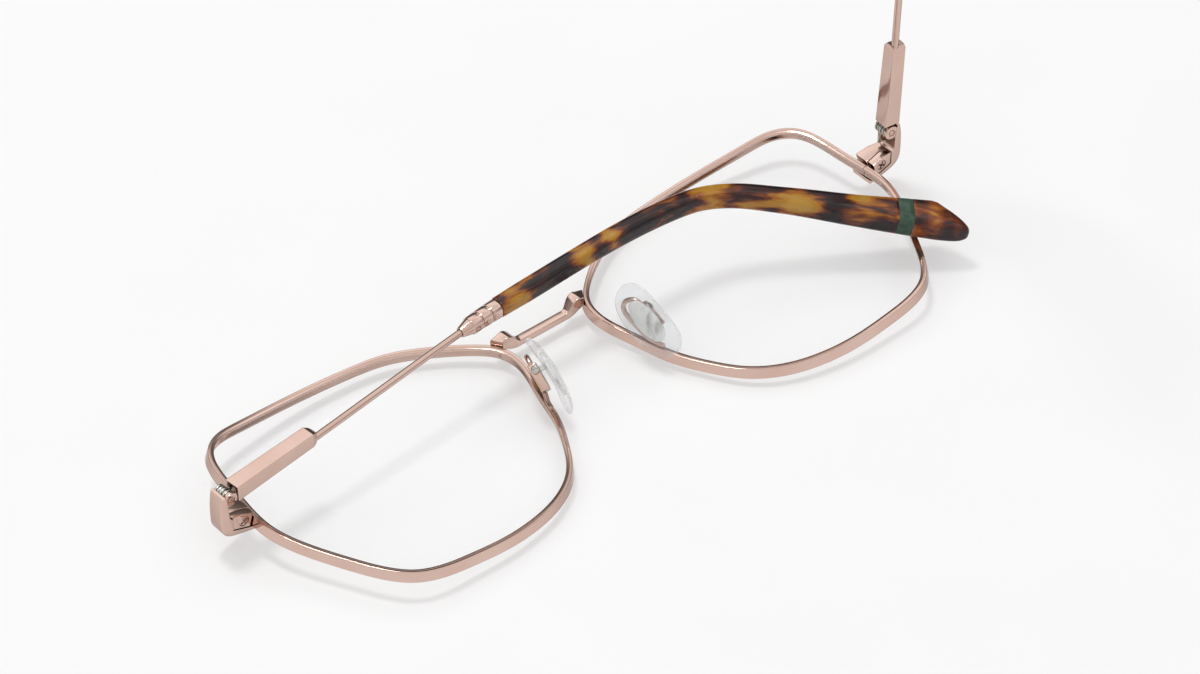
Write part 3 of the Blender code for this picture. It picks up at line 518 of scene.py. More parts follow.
def bevelled(ob, width, segments, angle):
    b = ob.modifiers.new("edge", "BEVEL")
    b.width = width * MM
    b.segments = segments
    b.limit_method = "ANGLE"
    b.angle_limit = math.radians(angle)
    b.use_clamp_overlap = True
    b.harden_normals = True
    b.miter_outer = "MITER_ARC"


def piece(name, body, mat, shape, side=1, local=None, nodes=(), bevel0=0.0, add=(), cut=(), bevel1=0.0,
          smooth=35.0, space=None, tone=None, subsurf=0, segments=3, limit=30.0):
    """One finished piece: mesh, unions and cuts, softened edges, material and body."""
    ob = raw(name, *shape, side, local)
    if space is not None:
        a = ob.data.attributes.new("tip_space", "FLOAT_VECTOR", "POINT")
        a.data.foreach_set("vector", np.array(space, np.float32).ravel())
        a = ob.data.attributes.new("tip_tone", "FLOAT", "POINT")
        a.data.foreach_set("value", np.array(tone if tone is not None else [0.0] * len(space), np.float32))
    ob.data.shade_smooth()
    if bevel0:
        bevelled(ob, bevel0, segments, limit)
        bake(ob)
    tools = []
    for kind, shapes in (("UNION", add), ("DIFFERENCE", cut)):
        for s in shapes:
            t = raw(name + "_tool", *s, side, local)
            t.hide_render = True
            tools.append(t)
            m = ob.modifiers.new(kind.lower(), "BOOLEAN")
            m.operation = kind
            m.solver = "EXACT"
            m.object = t
    if tools:
        bake(ob, tools)
        ob.data.shade_smooth()
    if bevel1:
        bevelled(ob, bevel1, 2, limit)
        bake(ob)
    elif not bevel0 or tools:
        ob.data.set_sharp_from_angle(angle=math.radians(smooth))
    if subsurf:
        s = ob.modifiers.new("subdivision", "SUBSURF")
        s.levels = s.render_levels = subsurf
        bake(ob)
    ob.data.materials.clear()
    ob.data.materials.append(MAT[mat])
    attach(ob, body)
    if nodes:
        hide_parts(*nodes)
    return ob


# ------------------------------------------------------------------ lens curve
def lens_z(u, v):
    return math.tan(WRAP) * u + (u * u + v * v) / (2 * BASE_RADIUS)


def lens_normal(u, v):
    return Vector((-(math.tan(WRAP) + u / BASE_RADIUS), -v / BASE_RADIUS, 1.0)).normalized()


def rim_stations(steps):
    dense = spline(LENS_SHAPE, closed=True)
    start = 0
    for i in range(len(dense)):
        if dense[i, 0] > 20 and dense[i, 1] < RIM_SPLIT_Y <= dense[(i + 1) % len(dense), 1]:
            start = i + 1
    loop = np.roll(dense, -start, axis=0)
    first = loop[-1] + (loop[0] - loop[-1]) * ((RIM_SPLIT_Y - loop[-1, 1]) / (loop[0, 1] - loop[-1, 1]))
    loop = np.vstack([first, loop, first])
    run = np.r_[0, np.cumsum(np.linalg.norm(np.diff(loop, axis=0), axis=1))]
    s = np.linspace(RIM_SPLIT_GAP / 2, run[-1] - RIM_SPLIT_GAP / 2, steps + 1)
    pts = np.stack([np.interp(s, run, loop[:, 0]), np.interp(s, run, loop[:, 1])], 1)
    ahead = np.stack([np.interp(np.minimum(s + 0.05, run[-1]), run, loop[:, k]) for k in (0, 1)], 1)
    behind = np.stack([np.interp(np.maximum(s - 0.05, 0), run, loop[:, k]) for k in (0, 1)], 1)
    out = []
    for (u, v), (ua, va), (ub, vb) in zip(pts.tolist(), ahead.tolist(), behind.tolist()):
        c = Vector((LENS_CENTRE_X + u, v, lens_z(u, v)))
        t = (Vector((ua, va, lens_z(ua, va))) - Vector((ub, vb, lens_z(ub, vb)))).normalized()
        nrm = lens_normal(u, v)
        out.append((c, t.cross(nrm).normalized(), nrm, float(u), float(v)))
    return out


STATIONS = rim_stations(RIM_STEPS)


def rim_section():
    """Channel wire: small corner radii, a fine line along the back, a V groove on the inside for the lens."""
    w, d, r = RIM_W / 2, RIM_D / 2, 0.13

    def arc(x, h, q0):
        return [(x + r * math.cos(math.radians(q0 + 15 * k)), h + r * math.sin(math.radians(q0 + 15 * k))) for k in range(7)]
    out = [(w, -0.4), (w, 0.0), (w, 0.4)] + arc(w - r, d - 0.035 - r, 0)
    out += [(0.20, d - 0.012), (0.045, d), (0.0, d - 0.045), (-0.045, d), (-0.20, d - 0.008)]
    out += arc(-w + r, d - 0.02 - r, 90)
    out += [(-0.497, 0.46), (-0.47, 0.43), (-0.16, 0.05), (-0.12, 0.0), (-0.16, -0.05), (-0.47, -0.43), (-0.497, -0.46)]
    return out + arc(-w + r, -d + r, 180) + arc(w - r, -d + r, 270)


def build_rim(side, label):
    section = rim_section()
    rings = [[c + r * rad + h * nrm for r, h in section] for c, rad, nrm, u, v in STATIONS]
    piece("fine_rim_" + label, "front", "rose_gold", loft(rings), side, nodes=["rim_" + label], smooth=40)


def build_lens(side, label):
    e, hh = -LENS_EDGE_INSET, LENS_HALF_THICK
    ring_of = STATIONS[::2]
    rings = []
    shares = [0.02, 0.1, 0.2, 0.3, 0.4, 0.5, 0.6, 0.7, 0.8, 0.88, 0.94]

    def face_ring(f, h):
        return [Vector((LENS_CENTRE_X + u * f, v * f, lens_z(u * f, v * f) + h)) for c, rad, nrm, u, v in ring_of]
    rings += [face_ring(f, -hh) for f in shares]
    for r, h in ((e - 0.08, -hh), (e, -hh + 0.08), (e, -0.42), (-0.22, 0.0), (e, 0.42), (e, hh - 0.08), (e - 0.08, hh)):
        rings.append([c + r * rad + h * nrm for c, rad, nrm, u, v in ring_of])
    rings += [face_ring(f, hh) for f in shares[::-1]]
    piece("fine_lens_" + label, "front", "clear_lens", loft(rings), side, nodes=["lens_" + label], smooth=30)


# ------------------------------------------------------------------ bridge
def rim_outer_x(y, gap):
    near = sorted(((abs((c + rad * (RIM_W / 2 + gap)).y - y), c + rad * (RIM_W / 2 + gap))
                   for c, rad, nrm, u, v in STATIONS if u < -20), key=lambda s: s[0])[:2]
    (d0, q0), (d1, q1) = near
    t = (y - q0.y) / (q1.y - q0.y)
    return q0.x + t * (q1.x - q0.x)


def soft_rect(y0, y1, z0, z1, r, n=5):
    pts = []
    for cy, cz, q0 in ((y1 - r, z1 - r, 0), (y0 + r, z1 - r, 90), (y0 + r, z0 + r, 180), (y1 - r, z0 + r, 270)):
        for k in range(n):
            q = math.radians(q0 + 90 * k / (n - 1))
            pts.append((cy + r * math.cos(q), cz + r * math.sin(q)))
    return pts


def build_bridge():
    half = [(0.0, 11.0, 12.4, 1.20, 2.40), (2.4, 11.0, 12.4, 1.20, 2.40), (4.3, 11.0, 12.4, 1.20, 2.40),
            (4.9, 11.0, 12.42, 1.20, 2.46), (5.4, 11.0, 12.6, 1.22, 2.86), (5.8, 11.0, 12.8, 1.30, 3.36),
            (6.4, 11.0, 13.0, 1.48, 3.98), (7.0, 11.0, 13.1, 1.76, 4.28), (7.5, 11.0, 13.1, 2.02, 4.34),
            (7.95, 11.04, 13.05, 2.15, 4.18)]
    dense = []
    for q in spline(half, per_span=5).tolist():
        x, y0, y1, z0, z1 = q
        dense.append((max(0.0, x), max(y0, 11.0), min(y1, 13.1), max(z0, 1.20), min(z1, 4.35)))

    def ring(x, y0, y1, z0, z1, end=False):
        return [Vector((rim_outer_x(y, 0.03) if end else x, y, z)) for y, z in soft_rect(y0, y1, z0, z1, 0.17)]
    right = [ring(*h) for h in dense] + [ring(0, 11.10, 12.9, 2.15, 3.85, True)]
    left = [[Vector((-p.x, p.y, p.z)) for p in r] for r in right[1:]]
    piece("fine_bridge", "front", "rose_gold", loft(left[::-1] + right), nodes=["bridge"], smooth=32)


# ------------------------------------------------------------------ endpieces
def back_edge(x):
    return 8.0 - (x - 63.6) * 0.21


def cross_recess(c, axis, length, width, deep, turn=0.0, start=0.0):
    """Two crossed slots cut into a screw head, from start to deep along the axis."""
    axis, e1, e2 = basis(axis)
    f1 = e1 * math.cos(turn) + e2 * math.sin(turn)
    f2 = axis.cross(f1)
    out = []
    for a, b in ((f1, f2), (f2, f1)):
        out.append(block(c, (a, b, axis), (-length / 2, -width / 2, start), (length / 2, width / 2, deep)))
    return out


def build_endpiece(side, label):
    outer = spline([(63.45, 2.42), (65.0, 2.78), (66.8, 3.20), (68.2, 3.62), (69.18, 4.24), (69.76, 5.2), (69.96, 6.6),
                    (70.0, 8.5), (69.86, 10.6), (69.62, 11.92)], per_span=6).tolist()
    inner = [(69.56, 12.0), (69.0, 12.0), (68.93, 11.92), (68.75, 10.9), (68.60, 9.9), (68.50, 8.9), (68.45, 8.1), (68.40, 7.6),
             (68.22, 7.2), (67.95, 7.02), (67.85, 6.9), (67.85, 4.62), (64.5, 3.46), (63.4, 3.14)]
    poly = [tuple(p) for p in outer] + inner
    mask = [True] * len(outer) + [False] * len(inner)
    upper = [(64.5, 3.3), (68.0, 4.4), (68.0, 6.95), (66.1, 6.85), (63.82, 6.1), (64.48, 3.62)]
    piece("fine_endpiece_" + label, "front", "rose_gold",
          soft_prism(poly, HINGE_Y0, back_edge, 0.30, mask), side, nodes=["endpiece_" + label],
          add=[soft_prism(upper, RIM_SPLIT_Y + 0.05, lambda x: back_edge(x) - 0.06, 0.12),
               turned(HINGE, HINGE_AXIS, rounded_profile([(-1.39, 0.3), (-1.39, KNUCKLE_R), (-0.62, KNUCKLE_R), (-0.62, 0.3)],
                                                         0.12), 48)],
          cut=[cyl(HINGE, HINGE_AXIS, KNUCKLE_R + 0.08, -0.57, 4.4, 48),
               cyl(HINGE, HINGE_AXIS, SCREW_HOLE_R, -2.5, 3.4),
               cyl(HINGE, HINGE_AXIS, 0.78, -2.5, -1.28, 6),
               cyl((65.75, 0, 5.35), (0, 1, 0), 0.53, 3.0, 6.6)], smooth=32)


def build_lock(side, label):
    low = [(64.66, 3.66), (67.76, 4.73), (67.76, 6.93), (66.1, 6.85), (64.0, 6.1)]
    c = (65.75, 0, 5.35)
    piece("fine_rim_lock_block_" + label, "front", "rose_gold",
          soft_prism(low, HINGE_Y0 + 0.06, lambda x: RIM_SPLIT_Y - 0.05, 0.10), side,
          nodes=["rim_lock_block_" + label],
          cut=[cyl(c, (0, 1, 0), 0.53, 3.0, 6.6), cyl(c, (0, 1, 0), 0.92, 3.0, 4.16)], smooth=32)
    piece("fine_rim_lock_screw_" + label, "front", "rose_gold_cast",
          turned(c, (0, 1, 0), rounded_profile([(3.66, 0.02), (3.66, 0.74), (3.74, 0.86), (4.10, 0.86), (4.11, 0.47),
                                                (6.35, 0.47), (6.45, 0.38)], 0.05)), side,
          nodes=["rim_lock_screw_" + label], cut=cross_recess(c, (0, 1, 0), 1.36, 0.34, 4.06, 0.45, 3.0), smooth=32)


def build_hinge_front(side, label):
    c, y = HINGE, HINGE_AXIS
    tang = [(67.35, 10.4), (67.35, 7.75), (68.40, 7.75), (68.44, 8.9), (68.66, 10.4)]
    r = KNUCKLE_R
    piece("fine_hinge_leaf_" + label, "front", "nickel",
          turned(c, y, rounded_profile([(0.70, 0.2), (0.70, r), (1.04, r), (1.05, r - 0.28), (1.25, r - 0.28), (1.26, r),
                                        (1.62, r), (1.62, 0.2)], 0.05), 48), side,
          nodes=["hinge_leaf_" + label], add=[soft_prism(tang, 5.90, lambda x: 6.55, 0.06)],
          cut=[cyl(c, y, SCREW_HOLE_R, 0, 3)], smooth=32)
    piece("fine_hinge_screw_" + label, "front", "rose_gold_cast",
          turned(c, y, rounded_profile([(-1.36, 0.02), (-1.36, 0.40), (-1.28, SCREW_R), (1.67, SCREW_R), (1.68, 0.80),
                                        (1.92, 0.80), (2.02, 0.62), (2.02, 0.02)], 0.04)), side,
          nodes=["hinge_screw_" + label],
          cut=[block(c + y * 2.1, (y.cross(Vector((0, 0, 1))), y, Vector((0, 0, 1))), (-1, -0.26, -0.13), (1, 0.3, 0.13))],
          smooth=32)


# ------------------------------------------------------------------ nose pads
def pad_point(a, n, w):
    return PAD_CENTRE + PAD_DOWN * a + PAD_FACE * n + PAD_OUT * w


def build_pad(side, label):
    body = "pad_" + label
    arm_start = []
    for v in (-4.9, -3.2):
        near = min((s for s in STATIONS if s[3] < -15), key=lambda s: abs(s[4] - v))
        arm_start.append(near[0] + (v - near[4]) * Vector((-0.42, 1.0, 0.0)) + near[2] * 1.40)
    path = arm_start + [pad_point(*q) for q in (
        (1.2, -2.75, -3.35), (-2.4, -2.55, -3.45), (-4.2, -2.4, -3.2), (-4.95, -2.35, -2.3),
        (-4.75, -2.35, -1.2), (-4.0, -2.4, -0.45), (-2.99, -2.45, -0.22))]
    line = spline(path, per_span=9)
    radii = [0.42 * (1 - 0.25 * max(0.0, 1 - i / 3) ** 2) for i in range(len(line))]
    piece("fine_pad_arm_" + label, "front", "rose_gold", tube(line, radii, 20), side, nodes=["pad_arm_" + label])

    piv = pad_point(PIVOT_A, PIVOT_N, LUG_W0)
    piece("fine_pad_box_" + label, "front", "rose_gold",
          block(PAD_CENTRE, PAD_AXES, (-2.95, -3.10, LUG_W0 - 1.0), (1.8, -1.55, LUG_W0 + 1.0)), side,
          nodes=["pad_box_" + label], bevel0=0.22, limit=30,
          cut=[block(PAD_CENTRE, PAD_AXES, (-2.58, -2.92, LUG_W0 - 0.44), (-0.92, 0.0, LUG_W0 + 0.44)),
               cyl(piv, PAD_OUT, 0.39, -3, 3, 24),
               block(PAD_CENTRE, PAD_AXES, (-0.45, -1.80, LUG_W0 - 0.55), (1.35, -1.0, LUG_W0 + 0.55))], smooth=32)
    piece("fine_pad_screw_" + label, "front", "nickel",
          turned(piv, PAD_OUT, rounded_profile([(-0.98, 0.02), (-0.98, 0.34), (1.04, 0.34), (1.05, 0.70), (1.32, 0.70),
                                                (1.45, 0.52), (1.45, 0.02)], 0.05)), side,
          nodes=["pad_screw_" + label], cut=cross_recess(piv, PAD_OUT, 1.0, 0.20, 2.0, 0.3, 1.27), smooth=32)

    def oval(hl, hw, n):
        return [pad_point(hl * math.cos(t), n, hw * math.sin(t)) for t in (2 * math.pi * k / 48 for k in range(48))]
    space = lambda shape: [tuple(v) for v in shape[0]]
    plate = loft([oval(3.75, 1.75, -0.38), oval(3.88, 1.88, -0.33), oval(3.9, 1.9, 0.07), oval(3.8, 1.8, 0.12)])
    piece("fine_pad_insert_" + label, body, "pad_core", plate, side, nodes=["pad_insert_" + label],
          add=[block(PAD_CENTRE, PAD_AXES, (-2.15, -2.15, LUG_W0 - 0.36), (-1.35, -0.2, LUG_W0 + 0.36)),
               cyl(piv, PAD_OUT, 0.66, -0.37, 0.37, 32)],
          cut=[cyl(piv, PAD_OUT, 0.39, -3, 3, 24)], space=space(plate), smooth=32)

    rings = []
    steps = 44
    for k in range(steps + 1):
        q = math.cos(math.pi * k / steps)
        a = -PAD_HALF_L * q
        f = max(1 - abs(q) ** 3.4, 0.0) ** 0.5
        hw = 0.06 + (PAD_HALF_W - 0.06) * f
        ht = 0.05 + (PAD_HALF_T - 0.05) * min(1.0, f * 1.18) ** 0.8
        mid = -PAD_SAG * (a / PAD_HALF_L) ** 2
        ring = []
        for j in range(40):
            t = 2 * math.pi * (j + 0.5) / 40
            c, s = math.cos(t), math.sin(t)
            ring.append(pad_point(a, mid + ht * math.copysign(abs(s) ** 0.80, s), hw * math.copysign(abs(c) ** 0.92, c)))
        rings.append(ring)
    piece("fine_nose_pad_" + label, body, "clear_silicone", loft(rings), side,
          nodes=["nose_pad_" + label],
          cut=[loft([oval(3.96, 1.96, -0.44), oval(3.96, 1.96, 0.18)]),
               block(PAD_CENTRE, PAD_AXES, (-2.21, -2.6, LUG_W0 - 0.42), (-1.29, -0.2, LUG_W0 + 0.42))], smooth=60)


# ------------------------------------------------------------------ temples
LINE = spline(TEMPLE_LINE, per_span=32)


def line_at(a):
    b = float(np.interp(a, LINE[:, 0], LINE[:, 1]))
    c = float(np.interp(a, LINE[:, 0], LINE[:, 2]))
    da = 0.4
    b1, b0 = (float(np.interp(a + k, LINE[:, 0], LINE[:, 1])) for k in (da, -da))
    c1, c0 = (float(np.interp(a + k, LINE[:, 0], LINE[:, 2])) for k in (da, -da))
    p = Vector((ROD_N - c, b, a))
    t = Vector((-(c1 - c0), b1 - b0, 2 * da)).normalized()
    out = (Vector((1, 0, 0)) - t.x * t).normalized()
    return p, t, t.cross(out), out


TIP_SIZE = [(48.9, 2.7, 2.7), (57, 2.95, 3.0), (62.5, 3.1, 3.15), (75, 3.1, 3.12), (88.5, 3.3, 3.15), (98, 3.4, 3.15),
            (102, 3.5, 3.2), (107.5, 3.6, 3.45), (111, 3.7, 3.7), (118.6, 3.95, 4.6), (123.8, 4.1, 5.5), (127, 4.1, 6.0),
            (133, 4.1, 6.4)]


def tip_size(a):
    x = [q[0] for q in TIP_SIZE]
    return float(np.interp(a, x, [q[1] for q in TIP_SIZE])), float(np.interp(a, x, [q[2] for q in TIP_SIZE]))


def rounded(w, h, r, n_arc=8, y_hi=None, y_lo=None, flat=3):
    """Rounded rectangle outline with a few points along each flat."""
    y_hi = h / 2 if y_hi is None else y_hi
    y_lo = -h / 2 if y_lo is None else y_lo
    r = min(r, 0.49 * w, 0.49 * (y_hi - y_lo))
    pts = []
    for cx, cy, q0 in ((w / 2 - r, y_hi - r, 0), (-w / 2 + r, y_hi - r, 90), (-w / 2 + r, y_lo + r, 180),
                       (w / 2 - r, y_lo + r, 270)):
        for k in range(n_arc):
            q = math.radians(q0 + 90 * k / (n_arc - 1))
            pts.append((cx + r * math.cos(q), cy + r * math.sin(q)))
    out = []
    n = len(pts)
    for i in range(n):
        out.append(pts[i])
        if (i + 1) % n_arc == 0:
            x0, y0 = pts[i]
            x1, y1 = pts[(i + 1) % n]
            for k in range(1, flat + 1):
                t = k / (flat + 1)
                out.append((x0 + (x1 - x0) * t, y0 + (y1 - y0) * t))
    return out


# lighter and darker clouds of the acetate: distance, spread, side (+ outer top, - inner bottom), spread, amount
CLOUDS = [(59.8, 2.68, -0.3, 1.4, 1.15), (65.8, 1.97, 0.0, 2.0, -0.35), (69.6, 1.80, 0.0, 2.0, -0.9),
          (73.9, 1.5, -0.2, 1.6, 0.85), (77.4, 1.3, 0.0, 2.0, -0.55), (80.2, 0.99, 0.2, 1.0, 0.35), (85.3, 3.07, 0.0, 2.0, -0.75),
          (93.2, 3.05, 0.2, 2.0, -0.35), (100.3, 2.72, 0.0, 2.0, 0.95), (105.4, 1.66, 0.7, 0.6, -0.7),
          (105.4, 1.66, -0.6, 0.7, 0.6), (110.7, 2.88, -0.3, 0.9, 1.1), (108.7, 1.25, 0.9, 0.35, -0.9),
          (112.8, 1.0, 0.9, 0.35, -0.9), (115.4, 1.09, 0.0, 2.0, -1.0), (119.4, 2.31, 0.5, 0.9, 1.1),
          (119.8, 2.68, -0.9, 0.5, -1.0), (128.0, 1.23, 0.5, 0.8, 0.9), (125.6, 0.76, 0.9, 0.5, -0.5),
          (130.2, 1.15, -0.6, 0.6, -0.6)]


def tone_at(a, x, y, w, h):
    side = (x / w + y / h)
    total = 0.0
    for a0, sa, v0, sv, amount in CLOUDS:
        total += amount * math.exp(-((a - a0) / sa) ** 2 - ((side - v0) / sv) ** 2)
    return total


def section_stack(stations, r, shrink=None, n_arc=8):
    rings, space, tone = [], [], []
    for i, a in enumerate(stations):
        w, h = tip_size(a)
        k = 0.0 if shrink is None else shrink[i]
        pts = rounded(w - 2 * k, h - 2 * k, r, n_arc)
        p, t, up, out = line_at(a)
        rings.append([p + out * x + up * y for x, y in pts])
        space += [(x, y, a) for x, y in pts]
        tone += [tone_at(a, x, y, w, h) for x, y in pts]
    return rings, space, tone


def build_temple(side, label):
    angle = FOLD[label]
    temple, slider = "temple_" + label, "slider_" + label
    place = (Matrix.Translation(Vector((side * HINGE.x, HINGE.y, HINGE.z)) - ORIGIN)
             @ Matrix.Rotation(math.radians(-side * LEAN), 4, "Z") @ Matrix.Rotation(math.radians(-side * angle), 4, "Y"))
    zax = (0, 0, 1)

    # spring housing: tapering box, small rolled edges, one deep facet at its far end
    def box_ring(a, shrink=0.0, facet=0.0, r=0.10):
        f = (a - HOUSING_A0) / (HOUSING_A1 - HOUSING_A0)
        b0, b1 = -1.30 - 0.20 * f + shrink, 1.40 - 0.45 * f - shrink - facet
        n0, n1 = -1.40 + 0.20 * f + shrink, 1.50 - 0.15 * f - shrink
        return [Vector((x, y, a)) for x, y in ((q[0] + (n0 + n1) / 2, q[1])
                                               for q in rounded(n1 - n0, 0, r, 9, b1, b0, 2))]
    e = HOUSING_A1
    rings = [box_ring(HOUSING_A0, 0.12), box_ring(HOUSING_A0 + 0.03, 0.04), box_ring(HOUSING_A0 + 0.12, 0.0)]
    rings += [box_ring(HOUSING_A0 + 0.12 + (e - 1.12 - HOUSING_A0 - 0.12) * k / 10) for k in range(1, 11)]
    rings += [box_ring(e - 1.02, 0.0, 0.0), box_ring(e - 0.98, 0.015, 0.02), box_ring(e - 0.40, 0.21, 0.26),
              box_ring(e - 0.37, 0.225, 0.27), box_ring(e - 0.03, 0.49, 0.34), box_ring(e, 0.53, 0.35)]
    piece("fine_temple_housing_" + label, temple, "rose_gold", loft(rings), side, place,
          nodes=["temple_housing_" + label],
          cut=[cyl((0, BORE_B, 0), zax, BORE_R, 1.0, 4.6), cyl((0, BORE_B, 0), zax, 0.42, 4.0, 6.0),
               cyl((0, BORE_B, 0), zax, BORE_R, 5.4, 13.2), cyl((ROD_N, ROD_B, 0), zax, WIRE_R + 0.03, 14.0, 19.0)],
          smooth=14)

    r = KNUCKLE_R
    piece("fine_hinge_slider_" + label, slider, "nickel",
          turned((0, 0, 0), (0, 1, 0), rounded_profile([(-0.55, 0.2), (-0.55, r), (-0.14, r), (-0.13, r - 0.30), (0.13, r - 0.30),
                                                        (0.14, r), (0.62, r), (0.62, 0.2)], 0.05), 48), side, place,
          nodes=["hinge_slider_" + label],
          add=[turned((0, BORE_B, 0), zax, [(0.70, 0.46), (1.35, 0.46), (1.36, 0.72), (4.2, 0.72), (4.21, 0.35), (11.6, 0.35)], 32)],
          cut=[cyl((0, 0, 0), (0, 1, 0), SCREW_HOLE_R, -2, 2)], smooth=32)
    steps = 6 * 24
    coil = [(0.53 * math.cos(2 * math.pi * k / 24), BORE_B + 0.53 * math.sin(2 * math.pi * k / 24), 6.9 + 3.35 * k / steps)
            for k in range(steps + 1)]
    piece("fine_hinge_spring_" + label, slider, "spring_steel", tube(coil, [0.14] * len(coil), 10), side, place,
          nodes=["hinge_spring_" + label])
    piece("fine_slider_nut_" + label, slider, "nickel", cyl((0, BORE_B, 0), zax, 0.70, 10.55, 11.55, 6), side, place,
          nodes=["slider_nut_" + label], bevel0=0.06, cut=[cyl((0, BORE_B, 0), zax, 0.38, 10, 12, 24)], smooth=32)

    # wire: rod, then the core that shows through the acetate and ends in a point
    stops = [14.3 + 0.8 * k for k in range(53)] + [56.3, 56.7] + [57.4 + 0.8 * k for k in range(76)] + [117.8, 118.2, 118.6, 119.0]
    rings = []
    for a in stops:
        rad = WIRE_R if a < 56.5 else CORE_R if a < 117.6 else max(0.04, CORE_R * (119.0 - a) / 1.4)
        p, t, up, out = line_at(a)
        rings.append([p + rad * (math.cos(q) * out + math.sin(q) * up) for q in (2 * math.pi * (k + 0.5) / 24 for k in range(24))])
    piece("fine_temple_wire_" + label, temple, "rose_gold", loft(rings), side, place, nodes=["temple_wire_" + label],
          smooth=50)

    prof = rounded_profile([(49.2, 0.60), (49.28, 0.64), (51.10, 0.93), (51.20, 1.0), (52.90, 1.0), (52.96, 0.90), (53.20, 0.90),
                            (53.26, 1.0), (54.87, 1.0), (54.93, 0.90), (55.17, 0.90), (55.23, 1.0), (56.94, 1.0), (57.02, 0.95)],
                           0.035, 2)
    outer = []
    for a, f in prof:
        w, h = tip_size(a)
        p, t, up, out = line_at(a)
        outer.append([p + out * x + up * y for x, y in rounded(w * f, h * f, 1.12)])
    n = len(outer[0])
    inner = []
    for a in (57.0, 49.2):
        p, t, up, out = line_at(a)
        w, h = tip_size(a)
        ring = []
        for x, y in rounded(w, h, 1.12):
            q = math.atan2(y, x)
            ring.append(p + (WIRE_R + 0.05) * (math.cos(q) * out + math.sin(q) * up))
        inner.append(ring)
    piece("fine_ferrule_" + label, temple, "rose_gold", loft(outer + inner, loop=True), side, place,
          nodes=["ferrule_" + label], smooth=24)

    stations = [TIP_START, TIP_START + 0.04, TIP_START + 0.12]
    shrink = [0.12, 0.04, 0.0]
    k = 0
    while stations[-1] < BAND_START - 0.35:
        stations.append(TIP_START + 0.12 + 0.32 * (k + 1))
        shrink.append(0.0)
        k += 1
    stations += [BAND_START - 0.02, BAND_START]
    shrink += [0.0, 0.03]
    rings, space, tone = section_stack(stations, 0.92, shrink)
    piece("fine_tip_main_" + label, temple, "tortoise_acetate", loft(rings), side, place,
          nodes=["tip_main_" + label], space=space, tone=tone, smooth=50)

    stations = [BAND_START + 0.02, BAND_START + 0.05] + [BAND_START + 0.05 + 0.3 * k for k in range(1, 5)] + [BAND_END - 0.05,
                                                                                                     BAND_END - 0.02]
    rings, space, tone = section_stack(stations, 0.92, [0.03] + [0.0] * (len(stations) - 2) + [0.03])
    piece("fine_tip_band_" + label, temple, "green_acetate", loft(rings), side, place,
          nodes=["tip_band_" + label], space=space, tone=[0.0] * len(space), smooth=50)

    # tip end: the top slants down to a blunt point on the lower edge
    p0, t0, up0, out0 = line_at(BAND_END)
    w0, h0 = tip_size(BAND_END)
    table = [(0.0, h0 / 2 - 0.03, -h0 / 2 + 0.03, w0 - 0.06), (0.04, h0 / 2, -h0 / 2, w0), (3.2, 2.98, -2.97, w0),
             (4.1, 2.74, -3.06, 4.02), (5.1, 1.96, -3.10, 3.90), (6.3, 1.06, -3.12, 3.75), (7.3, 0.20, -3.10, 3.54),
             (8.1, -0.53, -3.04, 3.24), (8.6, -0.96, -2.95, 2.86), (8.95, -1.26, -2.82, 2.38), (9.18, -1.52, -2.66, 1.80),
             (TIP_END_LEN, -1.80, -2.42, 0.9)]
    s_fine = sorted(set([q[0] for q in table] + [0.3 * k for k in range(1, 27)] + [8.25, 8.68, 8.97, 9.15]))
    cols = [[q[i] for q in table] for i in range(4)]
    rings, space, tone = [], [], []
    for s in s_fine:
        top, low, w = (float(np.interp(s, cols[0], cols[i])) for i in (1, 2, 3))
        c = p0 + t0 * s
        pts = rounded(w, 0, 0.92, 8, top, low)
        rings.append([c + out0 * x + up0 * y for x, y in pts])
        space += [(x, y + 3.0, BAND_END + s) for x, y in pts]
        tone += [tone_at(BAND_END + s, x, y, w0, h0) for x, y in pts]
    piece("fine_tip_end_" + label, temple, "tortoise_end", loft(rings), side, place,
          nodes=["tip_end_" + label], space=space, tone=tone, smooth=50)


for side, label in ((1, "right"), (-1, "left")):
    build_rim(side, label)
    build_lens(side, label)
    build_endpiece(side, label)
    build_lock(side, label)
    build_hinge_front(side, label)
    build_pad(side, label)
    build_temple(side, label)
build_bridge()

# ------------------------------------------------------------------ floor
floor_z = CAD_BOX[0].z - 0.00003
floor_mesh = bpy.data.meshes.new("floor")
floor_mesh.from_pydata([(-6, -6, floor_z), (6, -6, floor_z), (6, 6, floor_z), (-6, 6, floor_z)], [], [(0, 1, 2, 3)])
floor = bpy.data.objects.new("floor", floor_mesh)
bpy.context.scene.collection.objects.link(floor)
m, nt, out = new_material("pale_paper_painted_glow")
p = node(nt, "ShaderNodeBsdfPrincipled")
co = node(nt, "ShaderNodeTexCoord").outputs["Object"]
link(nt, ramp(nt, noise(nt, co, 30.0, 2.0), [(0.3, (0.535, 0.535, 0.535)), (0.7, (0.545, 0.545, 0.545))]), p.inputs["Base Color"])
# painted light: the floor glows by emission, which lightens the shadows on it and lights the frame from below
p.inputs["Emission Color"].default_value = (1.0, 1.0, 1.0, 1.0)
p.inputs["Emission Strength"].default_value = 0.370
p.inputs["Roughness"].default_value = 0.65
p.inputs["Specular IOR Level"].default_value = 0.25
link(nt, p.outputs[0], out.inputs["Surface"])
floor_mesh.materials.append(m)

# ------------------------------------------------------------------ light
world = bpy.data.worlds.new("studio")
bpy.context.scene.world = world
world.use_nodes = True
nt = world.node_tree
for n in list(nt.nodes):
    nt.nodes.remove(n)
out = nt.nodes.new("ShaderNodeOutputWorld")
back = nt.nodes.new("ShaderNodeBackground")
gen = node(nt, "ShaderNodeTexCoord").outputs["Generated"]
sep = node(nt, "ShaderNodeSeparateXYZ")
link(nt, gen, sep.inputs[0])
